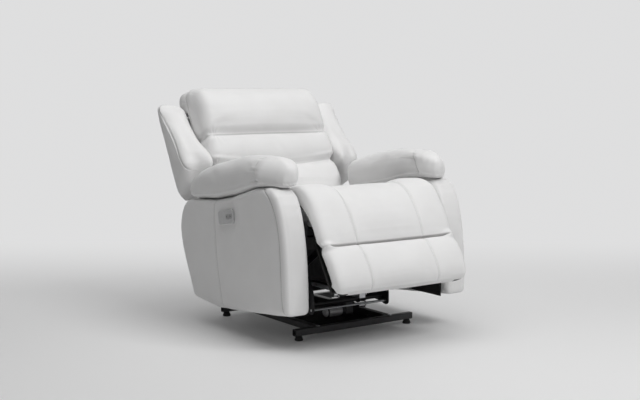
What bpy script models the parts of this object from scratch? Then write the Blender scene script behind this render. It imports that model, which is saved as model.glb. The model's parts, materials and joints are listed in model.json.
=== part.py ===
"""Power rocker recliner: steel rocker base, link-driven legrest, reclining winged back and padded arms.

Metres, +Z up. The chair faces -Y, and X = 0 is its plane of symmetry. Left is -X, right is +X.
The stored pose has the legrest part open and the back slightly reclined.
"""
import math

import bmesh
import bpy
from mathutils import Vector

# Fits shared by the whole chair
GAP = 0.0003                  # air between two pieces that touch
LAYER_GAP = 0.002             # air between flat links that pass each other
LAYOUT_SHIFT_Y = -0.02707     # puts the origin under the middle of the chair

# Base on the floor
GLIDE_HEIGHT = 0.020
GLIDE_RADIUS = 0.018
GLIDE_INSET = 0.022           # glide centre from the end of its rail
RAIL_HEIGHT = 0.027
RAIL_DEPTH = 0.025
TUBE_WALL = 0.002
TUBE_CORNER = 0.003
BASE_HALF_WIDTH = 0.300
BASE_FRONT_Y = -0.267
BASE_LENGTH = 0.597
MECHANISM_INSET = 0.157       # side rail in from the arm's inner face
SIDE_RAIL_WIDTH = 0.030

# Rocker pivot and springs
PIVOT_Y = 0.030
PIVOT_RISE = 0.038            # pivot above the side rail
PIVOT_EYE_RADIUS = 0.016
PIVOT_PIN_RADIUS = 0.006
BRACKET_THICKNESS = 0.005
BRACKET_FOOT_HALF = 0.070
BRACKET_FOOT_HEIGHT = 0.008
SPRING_REACH = 0.100          # spring axis in front of and behind the pivot
SPRING_RADIUS = 0.0125        # to the middle of the wire
SPRING_WIRE_RADIUS = 0.0022
SPRING_TURNS = 6
SPRING_HEIGHT = 0.078
CURL_POINTS = 9

# Side plates that carry the mechanism
PLATE_THICKNESS = 0.005
PLATE_FRONT_Y = -0.175
PLATE_REAR_Y = 0.268
PLATE_TOP_Z = 0.385
PLATE_LOW_Z = 0.165
PLATE_MARGIN = 0.018          # metal round the holes of the front leg
LEG_TOP_HALF = 0.050
SHELF_HALF = 0.0185
SHELF_WIDTH = 0.022
SHELF_THICKNESS = 0.004

# Cross members
CROSS_RAIL_SIZE = 0.025
CROSS_RAIL_RISE = 0.010       # above the plates' lower edge
CROSS_RAIL_FRONT_Y = 0.0325
CROSS_RAIL_REAR_Y = 0.1775
TIE_ROD_RADIUS = 0.005
TIE_ROD_AHEAD = 0.029         # from the torque tube
TIE_ROD_BELOW = 0.018

# Seat
DECK_THICKNESS = 0.012
DECK_FRONT_Y = -0.165
DECK_REAR_Y = 0.200
SEAT_RAIL_DEPTH = 0.025
SEAT_RAIL_HEIGHT = 0.040
SEAT_RAIL_INSET = 0.005       # from the edge of the deck
SEAT_FRONT_Y = -0.178
SEAT_CROWN_Z = 0.546
SEAT_FALL = 0.024             # the cushion is lower behind than in front
SEAT_CLEARANCE = 0.010        # cushion to arm and to the back
SEAT_ROUND = 0.030

# Arms
SEAT_OPENING = 0.684          # between the arms' inner faces
ARM_WIDTH = 0.116
ARM_FRONT_Y = -0.438
ARM_REAR_Y = 0.412
ARM_TOE_Z = 0.143
ARM_LOW_Z = 0.094
ARM_TOP_FRONT_Z = 0.628
ARM_TOP_REAR_Z = 0.532
ARM_EDGE_ROUND = 0.030
ARM_INNER_ROUND = 0.026
PILLOW_FRONT_RISE = 0.114     # crest of the pillow above the arm's front
PILLOW_REAR_RISE = 0.109
PILLOW_NOSE = 0.078           # nose of the pillow back from the arm's front
PILLOW_NOSE_LENGTH = 0.160    # the rounded cap, from the nose to its seam
PILLOW_INSIDE = 0.042         # overhang into the seat
PILLOW_OUTSIDE = 0.016        # overhang beyond the arm
PILLOW_TAIL = 0.060           # rounded rear end
PILLOW_SLANT = 0.045          # rear end further back on the outside than in the middle
APRON_LOW_Z = 0.130
APRON_TOP_Z = 0.280
APRON_LEAN = 0.063            # top of the apron behind its lower edge
APRON_INSET = 0.157           # lower edge in front of the arm's rear
APRON_THICKNESS = 0.015

# Legrest linkage
LINK_THICKNESS = 0.005
LINK_RADIUS = 0.014           # half width of a link, and its round ends
LINK_PIN_RADIUS = 0.005
LINK_LENGTH = 0.150
LINK_LEAN = math.radians(12.0)
LINK_SPACING = 0.090          # drive link to idler link
TUBE_AXIS_Y = -0.191
TUBE_AXIS_Z = 0.123
TORQUE_TUBE_RADIUS = 0.011
CARRIER_REACH = 0.190         # from the drive link's top pivot forward to the ottoman pivot
CARRIER_RISE = 0.130

# Legrest pads and board
CREASE_Y = -0.500
CREASE_Z = 0.417
LOWER_PAD_TILT = math.radians(32.0)
LOWER_PAD_LENGTH = 0.190
LOWER_PAD_THICKNESS = 0.075
LOWER_PAD_BELLY = 0.012
LOWER_PAD_CORNER = 0.020
UPPER_PAD_TILT = math.radians(45.0)
UPPER_PAD_LENGTH = 0.281
UPPER_PAD_BULGE = 0.040
UPPER_PAD_REAR_Y = -0.192
UPPER_PAD_HEEL_Z = 0.497
PAD_EDGE_ROUND = 0.034
PAD_CROWN = 0.006
PAD_SEAM_X = 0.165
PAD_SEAM_DEPTH = 0.004
PAD_SEAM_HALF = 0.010
LEGREST_CLEARANCE = 0.010     # pad to arm
BOARD_THICKNESS = 0.012
BOARD_MARGIN = 0.026
BOARD_RISE = 0.064            # board above the crease

# Actuator
ACTUATOR_X = 0.040
GUIDE_WIDTH = 0.030
GUIDE_HEIGHT = 0.018
GUIDE_CLEARANCE = 0.003       # guide above the torque tube
GUIDE_FRONT_Y = -0.255
GEARBOX_BEHIND = 0.0485       # gearbox middle behind the torque tube
GEARBOX_LENGTH = 0.045
GEARBOX_HEIGHT = 0.088
GEARBOX_WIDTH = 0.040
GEARBOX_CORNER = 0.008
MOTOR_RADIUS = 0.021
MOTOR_LENGTH = 0.095
SLIDER_LENGTH = 0.036
SLIDER_HEIGHT = 0.024
SLIDER_WIDTH = 0.026
SLIDER_PIN_RADIUS = 0.004
SLIDER_LEAD = 0.0525          # slider travel in metres per radian of the torque tube
CRANK_HUB_RADIUS = 0.018
CRANK_TIP_RADIUS = 0.014
CRANK_SLOT_HALF = 0.008
CRANK_THICKNESS = 0.006
CRANK_GAP = 0.005             # crank beside the guide
CRANK_MID_TURN = math.radians(12.0)   # turn of the tube at which the crank points straight up
CRANK_SWING = math.radians(44.0)      # crank swing either side of upright

# Back
HINGE_Y = 0.255
HINGE_Z = 0.430
HINGE_EYE_RADIUS = 0.018
BACK_LEAN = math.radians(27.0)
BACK_FACE = 0.0385            # cushion edge in front of the hinge, square to the back
PAD_DEPTH = 0.1085
PAD_SWELL = 0.020
BACK_CROWN = 0.010
FRAME_DEPTH = 0.030
UPRIGHT_WIDTH = 0.025
BACK_FRAME_TOP = 0.555
PANEL_START = -0.020
PANEL_THICKNESS = 0.040
PANEL_ROUND = 0.012
LUMBAR_START = 0.034          # along the back from the hinge
LUMBAR_END = 0.237
LUMBAR_FOOT = 0.120           # the lumbar cushion swells over this length from its start
MID_END = 0.395
HEAD_RISE = 0.100             # top of the head cushion above the frame
BACK_HALF_WIDTH = 0.334
BACK_EDGE_ROUND = 0.036
WING_WIDTH = 0.142
WING_TOP = 0.603
WING_KNEE = 0.261             # fullest place of the wing along the back
WING_ROUND = 0.034
RECLINE_FORWARD = math.radians(10.0)  # how far the back comes forward from the stored pose

# Control plate on the left arm
CONTROL_LENGTH = 0.110
CONTROL_HEIGHT = 0.052
CONTROL_THICKNESS = 0.008
CONTROL_CORNER = 0.012
CONTROL_Y = -0.006
CONTROL_Z = 0.486
CONTROL_TILT = math.radians(10.0)
BUTTON_SIZE = 0.020
BUTTON_CORNER = 0.004
BUTTON_PITCH = 0.026
BUTTON_FORWARD = 0.026        # middle of the pair in front of the plate's middle
BUTTON_PROUD = 0.002
BUTTON_SUNK = 0.0035
BUTTON_WELL = 0.006
BUTTON_GAP = 0.0004

# Worked out from the sizes above
RAIL_TOP_Z = GLIDE_HEIGHT + RAIL_HEIGHT
BASE_REAR_Y = BASE_FRONT_Y + BASE_LENGTH
PIVOT = (PIVOT_Y, RAIL_TOP_Z + PIVOT_RISE)
SHELF_Z = RAIL_TOP_Z + SPRING_HEIGHT
SPRING_YS = (PIVOT_Y - SPRING_REACH, PIVOT_Y + SPRING_REACH)
CROSS_RAIL_Z = PLATE_LOW_Z + CROSS_RAIL_RISE + CROSS_RAIL_SIZE / 2
ARM_INNER_X = SEAT_OPENING / 2
ARM_OUTER_X = ARM_INNER_X + ARM_WIDTH
SIDE_RAIL_X = ARM_INNER_X - MECHANISM_INSET
PLATE_X = SIDE_RAIL_X + BRACKET_THICKNESS / 2 + LAYER_GAP
LINK_X = PLATE_X + PLATE_THICKNESS + LAYER_GAP
CARRIER_X = LINK_X + LINK_THICKNESS + LAYER_GAP
OTTOMAN_X = CARRIER_X + LINK_THICKNESS + LAYER_GAP
UPRIGHT_X = LINK_X + LINK_THICKNESS + GAP
DECK_TOP_Z = PLATE_TOP_Z + GAP + DECK_THICKNESS
LEGREST_HALF = ARM_INNER_X - LEGREST_CLEARANCE

DRIVE_FOOT = (TUBE_AXIS_Y, TUBE_AXIS_Z)
DRIVE_TOP = (TUBE_AXIS_Y + LINK_LENGTH * math.sin(LINK_LEAN), TUBE_AXIS_Z + LINK_LENGTH * math.cos(LINK_LEAN))
IDLER_FOOT = (DRIVE_FOOT[0] + LINK_SPACING, DRIVE_FOOT[1])
IDLER_TOP = (DRIVE_TOP[0] + LINK_SPACING, DRIVE_TOP[1])
OTTOMAN_PIVOT = (DRIVE_TOP[0] - CARRIER_REACH, DRIVE_TOP[1] + CARRIER_RISE)
TIE_ROD = (TUBE_AXIS_Y - TIE_ROD_AHEAD, TUBE_AXIS_Z - TIE_ROD_BELOW)
HINGE = (HINGE_Y, HINGE_Z)

GUIDE_Z = TUBE_AXIS_Z + TORQUE_TUBE_RADIUS + GUIDE_CLEARANCE
GUIDE_TOP_Z = GUIDE_Z + GUIDE_HEIGHT
SLIDER_PIN = (TUBE_AXIS_Y + SLIDER_LEAD * CRANK_MID_TURN, GUIDE_TOP_Z + GAP + SLIDER_HEIGHT / 2)
CRANK_RISE = SLIDER_PIN[1] - TUBE_AXIS_Z
CRANK_X = ACTUATOR_X + GUIDE_WIDTH / 2 + CRANK_GAP

PAD_BACK = BACK_FACE - PAD_DEPTH
FRAME_FRONT = PAD_BACK - GAP
FRAME_REAR = FRAME_FRONT - FRAME_DEPTH
PANEL_FACE = FRAME_REAR - GAP
PANEL_SKIN = PANEL_FACE - PANEL_THICKNESS
HEAD_END = BACK_FRAME_TOP + HEAD_RISE
WRAP_SHARE = (2 * BACK_FRAME_TOP - MID_END - HEAD_END) / (HEAD_END - MID_END)
PANEL_TOP = BACK_FRAME_TOP - WRAP_SHARE * BACK_EDGE_ROUND   # clears the drawn-in sides of the head cushion

ROUND_STEPS = 24              # facets of a pin, a hole and a link's round end
SIDES = {"left": -1, "right": 1}
AXES = {"X": (0, 1, 2), "Y": (1, 0, 2)}


# Outlines in a plane

def arc(center, radius, start, stop, steps):
    """Points of an arc, both ends included."""
    angles = [start + (stop - start) * i / steps for i in range(steps + 1)]
    return [(center[0] + radius * math.cos(a), center[1] + radius * math.sin(a)) for a in angles]


def circle(center, radius):
    """Points of a full circle, the same facets for a pin and its hole."""
    return arc(center, radius, 0.0, 2 * math.pi, ROUND_STEPS)[:-1]


def box_outline(low, high):
    """A plain rectangle between two corners."""
    return [(low[0], low[1]), (high[0], low[1]), (high[0], high[1]), (low[0], high[1])]


def rounded_box(center, width, height, radius, steps=3):
    """A rectangle with round corners, counter-clockwise."""
    points = []
    for quarter, (sx, sy) in enumerate(((1, 1), (-1, 1), (-1, -1), (1, -1))):
        corner = (center[0] + sx * (width / 2 - radius), center[1] + sy * (height / 2 - radius))
        points += arc(corner, radius, quarter * math.pi / 2, (quarter + 1) * math.pi / 2, steps)
    return points


def bezier(a, b, c, d, steps):
    """Points of a cubic curve from a up to d, without d itself."""
    points = []
    for i in range(steps):
        t = i / steps
        s = 1 - t
        points.append(tuple(s ** 3 * a[k] + 3 * s * s * t * b[k] + 3 * s * t * t * c[k] + t ** 3 * d[k]
                            for k in range(2)))
    return points


def between(a, b, steps):
    """Points of a straight line from a up to b, without b itself."""
    return [tuple(a[k] + (b[k] - a[k]) * i / steps for k in range(2)) for i in range(steps)]


def hull(points):
    """Convex outline round a set of points, counter-clockwise."""
    ordered = sorted(set(points))
    chains = []
    for sequence in (ordered, ordered[::-1]):
        chain = []
        for p in sequence:
            while len(chain) > 1:
                (ax, ay), (bx, by) = chain[-2], chain[-1]
                if (bx - ax) * (p[1] - ay) - (by - ay) * (p[0] - ax) > 1e-12:
                    break
                chain.pop()
            chain.append(p)
        chains += chain[:-1]
    return chains


def bar_outline(*round_ends):
    """Outline of a flat plate drawn tight round circles given as (centre, radius)."""
    points = []
    for center, radius in round_ends:
        points += circle(center, radius)
    return hull(points)


def bent_bar(points, half):
    """Outline of a flat bar through points, with round ends and mitred bends, counter-clockwise."""
    ways = [math.atan2(b[1] - a[1], b[0] - a[0]) for a, b in zip(points, points[1:])]
    sides = {-1: [], 1: []}
    for point, before, after in zip(points[1:-1], ways, ways[1:]):
        reach = half / math.cos((after - before) / 2)
        square = (before + after) / 2 + math.pi / 2
        for sign, row in sides.items():
            row.append((point[0] + sign * reach * math.cos(square), point[1] + sign * reach * math.sin(square)))
    quarter = math.pi / 2
    steps = ROUND_STEPS // 2
    far = arc(points[-1], half, ways[-1] - quarter, ways[-1] + quarter, steps)
    near = arc(points[0], half, ways[0] + quarter, ways[0] + 3 * quarter, steps)
    return sides[-1] + far + sides[1][::-1] + near


def shifted(point, along, amount):
    """A point moved along a direction."""
    return (point[0] + along[0] * amount, point[1] + along[1] * amount)


def turned(points, center, angle):
    """Points turned about zero and then moved to a centre."""
    c, s = math.cos(angle), math.sin(angle)
    return [(center[0] + c * a - s * b, center[1] + s * a + c * b) for a, b in points]


# Solids

def prism(axis, outline, low, high, holes=(), bosses=()):
    """A straight extrusion with through holes, and bosses or wells on its ends.

    A boss is (outline, at_high, height), and a well is a boss of negative height.
    """
    main, first, second = AXES[axis]
    mesh = bmesh.new()

    def ring(points, level):
        made = []
        for a, b in points:
            place = [0.0, 0.0, 0.0]
            place[main] = level
            place[first] = a
            place[second] = b
            made.append(mesh.verts.new(place))
        return made

    def ring_edges(made):
        return [mesh.edges.new((made[i - 1], made[i])) for i in range(len(made))]

    def wall(one, other):
        for i in range(len(one)):
            mesh.faces.new((one[i - 1], one[i], other[i], other[i - 1]))

    caps = {low: [], high: []}
    for points in (outline, *holes):
        rings = {level: ring(points, level) for level in (low, high)}
        for level, made in rings.items():
            caps[level] += ring_edges(made)
        wall(rings[low], rings[high])
    for points, at_high, height in bosses:
        level = high if at_high else low
        root = ring(points, level)
        caps[level] += ring_edges(root)
        tip = ring(points, level + height if at_high else level - height)
        wall(root, tip)
        mesh.faces.new(tip)
    for edges in caps.values():
        bmesh.ops.triangle_fill(mesh, use_beauty=True, use_dissolve=False, edges=edges)
    bmesh.ops.recalc_face_normals(mesh, faces=mesh.faces)
    return mesh


def loft(rings):
    """A closed skin through rings of equal point counts, with flat ends."""
    mesh = bmesh.new()
    made = [[mesh.verts.new(p) for p in ring] for ring in rings]
    for one, other in zip(made, made[1:]):
        for i in range(len(one)):
            mesh.faces.new((one[i - 1], one[i], other[i], other[i - 1]))
    mesh.faces.new(made[0])
    mesh.faces.new(made[-1])
    bmesh.ops.recalc_face_normals(mesh, faces=mesh.faces)
    return mesh


def edge_stations(low, high, round_low, round_high, middle=(), steps=3):
    """Places across a pad as (x, inset): a quarter round at each end and any places between."""
    angles = [i / steps * math.pi / 2 for i in range(steps + 1)]
    first = [(low + round_low * (1 - math.cos(a)), round_low * (1 - math.sin(a))) for a in angles]
    last = [(high - round_high * (1 - math.cos(a)), round_high * (1 - math.sin(a))) for a in angles]
    return first + [(x, 0.0) for x in middle] + last[::-1]


def inset_outline(outline, inset):
    """The outline drawn in by the same amount on all four sides."""
    spans = []
    for k in range(2):
        values = [p[k] for p in outline]
        spans.append(((min(values) + max(values)) / 2, (max(values) - min(values)) / 2))
    return [tuple(mid + (p[k] - mid) * (half - inset) / half for k, (mid, half) in enumerate(spans))
            for p in outline]


def soft_block(outline, stations, place, crown=0.0, face=(), dips=()):
    """A padded block: an outline lofted across X, drawn in at its sides, with a crown and sewn seams.

    face counts the first outline points that take the crown, and dips are (x, half width, depth) seams.
    """
    low, high = stations[0][0], stations[-1][0]
    rings = []
    for x, inset in stations:
        rise = crown * (1 - ((2 * x - low - high) / (high - low)) ** 2)
        for seam_x, seam_half, depth in dips:
            rise -= depth * max(0.0, 1 - abs(x - seam_x) / seam_half)
        rings.append([place(x, point, rise if i in face else 0.0)
                      for i, point in enumerate(inset_outline(outline, inset))])
    return loft(rings)


def upright_place(x, point, rise):
    """Side view point to space, with the crown taken upward."""
    return (x, point[0], point[1] + rise)


def back_point(along, forward):
    """A place on the back: along it from the hinge, and forward square to it."""
    s, c = math.sin(BACK_LEAN), math.cos(BACK_LEAN)
    return (HINGE_Y + along * s - forward * c, HINGE_Z + along * c + forward * s)


def back_place(x, point, rise):
    """Back outline point to space, with the crown taken forward."""
    return (x, *back_point(point[0], point[1] + rise))


# Scene helpers

def clear_scene():
    """Remove every object that is there."""
    for item in list(bpy.data.objects):
        bpy.data.objects.remove(item, do_unlink=True)


def make_material(name, color, roughness, metallic=0.0):
    """A plain principled material."""
    material = bpy.data.materials.new(name)
    material.use_nodes = True
    shader = material.node_tree.nodes["Principled BSDF"]
    shader.inputs["Base Color"].default_value = (*color, 1.0)
    shader.inputs["Roughness"].default_value = roughness
    shader.inputs["Metallic"].default_value = metallic
    return material


def make_body(name, pivot, parent):
    """An empty on a joint's axis that carries the pieces which move together."""
    empty = bpy.data.objects.new(name, None)
    bpy.context.scene.collection.objects.link(empty)
    center = Vector((0.0, *pivot))
    empty["layout"] = tuple(center)
    if parent is None:
        empty.location = center + Vector((0.0, LAYOUT_SHIFT_Y, 0.0))
    else:
        empty.parent = parent
        empty.location = center - Vector(parent["layout"])
    return empty


def add(name, mesh, material, body):
    """Turn a bmesh in layout coordinates into a named piece of a body."""
    bmesh.ops.translate(mesh, verts=mesh.verts, vec=-Vector(body["layout"]))
    data = bpy.data.meshes.new(name)
    mesh.to_mesh(data)
    mesh.free()
    data.shade_smooth()
    data.set_sharp_from_angle(angle=math.radians(35.0))
    data.materials.append(material)
    piece = bpy.data.objects.new(name, data)
    bpy.context.scene.collection.objects.link(piece)
    piece.parent = body


def sided(side, inner, thickness):
    """The two X values of a layer on one side, in rising order, and whether the outer one is the high end."""
    low, high = sorted((side * inner, side * (inner + thickness)))
    return low, high, side > 0


def tube(axis, center, width, height, low, high):
    """A rectangular steel tube."""
    outer = rounded_box(center, width, height, TUBE_CORNER)
    inner = rounded_box(center, width - 2 * TUBE_WALL, height - 2 * TUBE_WALL, TUBE_CORNER - TUBE_WALL / 2)
    return prism(axis, outer, low, high, holes=[inner])


# Base

def build_base(body, finish):
    """Rails, glides, rocker brackets and springs."""
    middle = GLIDE_HEIGHT + RAIL_HEIGHT / 2
    cross = {"front": BASE_FRONT_Y + RAIL_DEPTH / 2, "rear": BASE_REAR_Y - RAIL_DEPTH / 2}
    for end, y in cross.items():
        rail = tube("X", (y, middle), RAIL_DEPTH, RAIL_HEIGHT, -BASE_HALF_WIDTH, BASE_HALF_WIDTH)
        add(f"base_rail_{end}", rail, finish["base"], body)
    run = (BASE_FRONT_Y + RAIL_DEPTH + GAP, BASE_REAR_Y - RAIL_DEPTH - GAP)
    for name, side in SIDES.items():
        x = side * SIDE_RAIL_X
        add(f"base_rail_{name}", tube("Y", (x, middle), SIDE_RAIL_WIDTH, RAIL_HEIGHT, *run), finish["base"], body)
        build_rocker_bracket(name, side, body, finish)
        for end, y in cross.items():
            build_glide(f"glide_{end}_{name}", side * (BASE_HALF_WIDTH - GLIDE_INSET), y, body, finish)
        for end, y in zip(("front", "rear"), SPRING_YS):
            build_spring(f"rocker_spring_{end}_{name}", x, y, body, finish)


def build_glide(name, x, y, body, finish):
    """A turned foot with a softened lower edge and a narrower top."""
    edge = GLIDE_RADIUS * 0.15
    levels = ((0.0, GLIDE_RADIUS - edge), (edge, GLIDE_RADIUS), (GLIDE_HEIGHT - GAP, GLIDE_RADIUS * 0.65))
    rings = [[(px, py, z) for px, py in circle((x, y), radius)] for z, radius in levels]
    add(name, loft(rings), finish["rubber"], body)


def build_rocker_bracket(name, side, body, finish):
    """Flared stand on the side rail, with the pivot pin that the side plate rocks on."""
    foot = RAIL_TOP_Z + GAP
    shoulder = foot + BRACKET_FOOT_HEIGHT
    half, eye = BRACKET_FOOT_HALF, PIVOT_EYE_RADIUS
    waist = shoulder + (PIVOT[1] - shoulder) * 0.3
    outline = [(PIVOT_Y - half, foot), (PIVOT_Y + half, foot)]
    outline += bezier((PIVOT_Y + half, shoulder), (PIVOT_Y + half * 0.45, shoulder), (PIVOT_Y + eye, waist),
                      (PIVOT_Y + eye, PIVOT[1]), 6)
    outline += arc(PIVOT, eye, 0.0, math.pi, 12)[:-1]
    outline += bezier((PIVOT_Y - eye, PIVOT[1]), (PIVOT_Y - eye, waist), (PIVOT_Y - half * 0.45, shoulder),
                      (PIVOT_Y - half, shoulder), 6)
    outline.append((PIVOT_Y - half, shoulder))
    low, high, out = sided(side, SIDE_RAIL_X - BRACKET_THICKNESS / 2, BRACKET_THICKNESS)
    pin = (circle(PIVOT, PIVOT_PIN_RADIUS), out, LAYER_GAP + PLATE_THICKNESS)
    add(f"rocker_bracket_{name}", prism("X", outline, low, high, bosses=[pin]), finish["steel"], body)


def build_spring(name, x, y, body, finish):
    """A coil between the side rail and the plate's shelf."""
    start = RAIL_TOP_Z + GAP + SPRING_WIRE_RADIUS
    stop = SHELF_Z - GAP - SPRING_WIRE_RADIUS
    count = SPRING_TURNS * CURL_POINTS
    curve = bpy.data.curves.new(name, "CURVE")
    curve.dimensions = "3D"
    curve.bevel_depth = SPRING_WIRE_RADIUS
    curve.bevel_resolution = 1
    curve.use_fill_caps = True
    spline = curve.splines.new("POLY")
    spline.points.add(count)
    center = Vector(body["layout"])
    places = []
    for i in range(count + 1):
        angle = 2 * math.pi * i / CURL_POINTS
        place = Vector((x + SPRING_RADIUS * math.cos(angle), y + SPRING_RADIUS * math.sin(angle),
                        start + (stop - start) * i / count))
        places.append(place)
        spline.points[i].co = (*(place - center), 1.0)
    least = min((places[i] - places[j]).length for i in range(count + 1)
                for j in range(i + CURL_POINTS // 2, count + 1))
    print(f"{name}: least gap between turns {1000 * (least - 2 * SPRING_WIRE_RADIUS):.2f} mm")
    curve.materials.append(finish["spring"])
    piece = bpy.data.objects.new(name, curve)
    bpy.context.scene.collection.objects.link(piece)
    piece.parent = body


# Side plates and cross members

def plate_outline():
    """Side view of a plate: front leg, two spring seats, the rocker leg and the raised hinge eye."""
    margin = PLATE_MARGIN
    tie_y = TIE_ROD[0]
    seat_z = SHELF_Z + GAP
    outline = [(PLATE_FRONT_Y, PLATE_TOP_Z), (PLATE_FRONT_Y, DRIVE_TOP[1] + margin),
               (tie_y - margin * 0.4, TUBE_AXIS_Z + 4 * margin), (tie_y - margin, TUBE_AXIS_Z + margin)]
    outline += arc(TIE_ROD, margin, math.pi, 1.5 * math.pi, 4)
    outline += [(TUBE_AXIS_Y + margin, TUBE_AXIS_Z - margin * 1.4), (IDLER_FOOT[0], IDLER_FOOT[1] - margin)]
    for index, y in enumerate(SPRING_YS):
        before = IDLER_FOOT[1] - margin * 0.8 if index == 0 else PLATE_LOW_Z
        outline += [(y - SHELF_HALF * 1.05, before), (y - SHELF_HALF, seat_z), (y + SHELF_HALF, seat_z),
                    (y + SHELF_HALF * 1.25, PLATE_LOW_Z)]
        if index == 0:
            outline.append((PIVOT_Y - LEG_TOP_HALF, PLATE_LOW_Z))
            outline += arc(PIVOT, PIVOT_EYE_RADIUS, math.pi, 2 * math.pi, 12)
            outline.append((PIVOT_Y + LEG_TOP_HALF, PLATE_LOW_Z))
    outline += [(CROSS_RAIL_REAR_Y + CROSS_RAIL_SIZE, PLATE_LOW_Z), (PLATE_REAR_Y, PLATE_LOW_Z + 3 * margin)]
    outline += arc(HINGE, HINGE_EYE_RADIUS, 0.0, math.pi, 12)
    outline.append((HINGE_Y - 2 * HINGE_EYE_RADIUS, PLATE_TOP_Z))
    return outline


def build_side_plates(body, finish):
    """The steel plates that rock on the base and carry every link."""
    for name, side in SIDES.items():
        low, high, out = sided(side, PLATE_X, PLATE_THICKNESS)
        holes = [circle(PIVOT, PIVOT_PIN_RADIUS + GAP), circle(HINGE, LINK_PIN_RADIUS + GAP),
                 circle(DRIVE_FOOT, TORQUE_TUBE_RADIUS + GAP), circle(IDLER_FOOT, LINK_PIN_RADIUS + GAP),
                 circle(TIE_ROD, TIE_ROD_RADIUS + GAP)]
        size = CROSS_RAIL_SIZE + 2 * GAP
        for y in (CROSS_RAIL_FRONT_Y, CROSS_RAIL_REAR_Y):
            holes.append(rounded_box((y, CROSS_RAIL_Z), size, size, TUBE_CORNER))
        shelves = []
        for y in SPRING_YS:
            flange = box_outline((y - SHELF_HALF * 0.9, SHELF_Z + 2 * GAP),
                                 (y + SHELF_HALF * 0.9, SHELF_Z + 2 * GAP + SHELF_THICKNESS))
            shelves.append((flange, not out, SHELF_WIDTH))
        plate = prism("X", plate_outline(), low, high, holes=holes, bosses=shelves)
        add(f"side_plate_{name}", plate, finish["steel"], body)


def build_cross_members(body, finish):
    """Two square tubes that carry the arms, and a rod across the front."""
    reach = ARM_INNER_X - GAP
    for end, y in (("front", CROSS_RAIL_FRONT_Y), ("rear", CROSS_RAIL_REAR_Y)):
        rail = tube("X", (y, CROSS_RAIL_Z), CROSS_RAIL_SIZE, CROSS_RAIL_SIZE, -reach, reach)
        add(f"cross_rail_{end}", rail, finish["steel"], body)
    reach = PLATE_X + PLATE_THICKNESS
    add("tie_rod", prism("X", circle(TIE_ROD, TIE_ROD_RADIUS), -reach, reach), finish["bright"], body)


# Seat

def build_seat(body, finish):
    """Wooden rails between the plates, the deck on them, and the seat cushion."""
    reach = PLATE_X - GAP
    for end, y in (("front", DECK_FRONT_Y + SEAT_RAIL_INSET),
                   ("rear", DECK_REAR_Y - SEAT_RAIL_INSET - SEAT_RAIL_DEPTH)):
        outline = box_outline((y, PLATE_TOP_Z - SEAT_RAIL_HEIGHT), (y + SEAT_RAIL_DEPTH, PLATE_TOP_Z))
        add(f"seat_rail_{end}", prism("X", outline, -reach, reach), finish["wood"], body)
    half = ARM_INNER_X - SEAT_CLEARANCE
    deck = box_outline((DECK_FRONT_Y, PLATE_TOP_Z + GAP), (DECK_REAR_Y, DECK_TOP_Z))
    add("seat_deck", prism("X", deck, -half, half), finish["wood"], body)

    bottom = DECK_TOP_Z + GAP
    upright = BACK_LEAN - RECLINE_FORWARD
    ahead = BACK_FACE + PAD_SWELL / 2 + SEAT_CLEARANCE
    rear_low = HINGE_Y - ahead / math.cos(upright) - (HINGE_Z - bottom) * math.tan(upright)
    rear_z = SEAT_CROWN_Z - SEAT_FALL
    rear_y = rear_low + (rear_z - bottom) * math.tan(upright)
    front, crown = SEAT_FRONT_Y, SEAT_CROWN_Z
    rise = crown - bottom
    edge = SEAT_ROUND
    shoulder = front + 2.5 * edge
    outline = bezier((rear_y - edge, rear_z), (rear_y - 3 * edge, rear_z), (shoulder + 3 * edge, crown),
                     (shoulder, crown), 6)
    outline += bezier((shoulder, crown), (front + edge, crown), (front, crown - edge), (front, bottom + rise / 2), 6)
    outline += bezier((front, bottom + rise / 2), (front, bottom + edge / 2), (front + edge / 2, bottom),
                      (front + 1.5 * edge, bottom), 4)
    outline += between((front + 1.5 * edge, bottom), (rear_low, bottom), 3)
    outline += between((rear_low, bottom), (rear_y - edge * 0.4, rear_z - edge), 2)
    outline += bezier((rear_y - edge * 0.4, rear_z - edge), (rear_y - edge * 0.1, rear_z - edge / 3),
                      (rear_y - edge * 0.4, rear_z), (rear_y - edge, rear_z), 3)
    stations = edge_stations(-half, half, edge, edge, middle=(-half / 2, 0.0, half / 2))
    cushion = soft_block(outline, stations, upright_place, crown=PAD_CROWN, face=range(8))
    add("seat_cushion", cushion, finish["cover"], body)


# Arms

def arm_top_line():
    """Top of the arm from front to rear, shared with the underside of its pillow."""
    length = ARM_REAR_Y - ARM_FRONT_Y
    drop = ARM_TOP_FRONT_Z - ARM_TOP_REAR_Z
    shares = ((0.165, 0.0), (0.26, 0.10), (0.44, 0.53), (0.66, 0.88), (0.88, 1.0))
    return [(ARM_FRONT_Y + length * run, ARM_TOP_FRONT_Z - drop * fall) for run, fall in shares]


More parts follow.
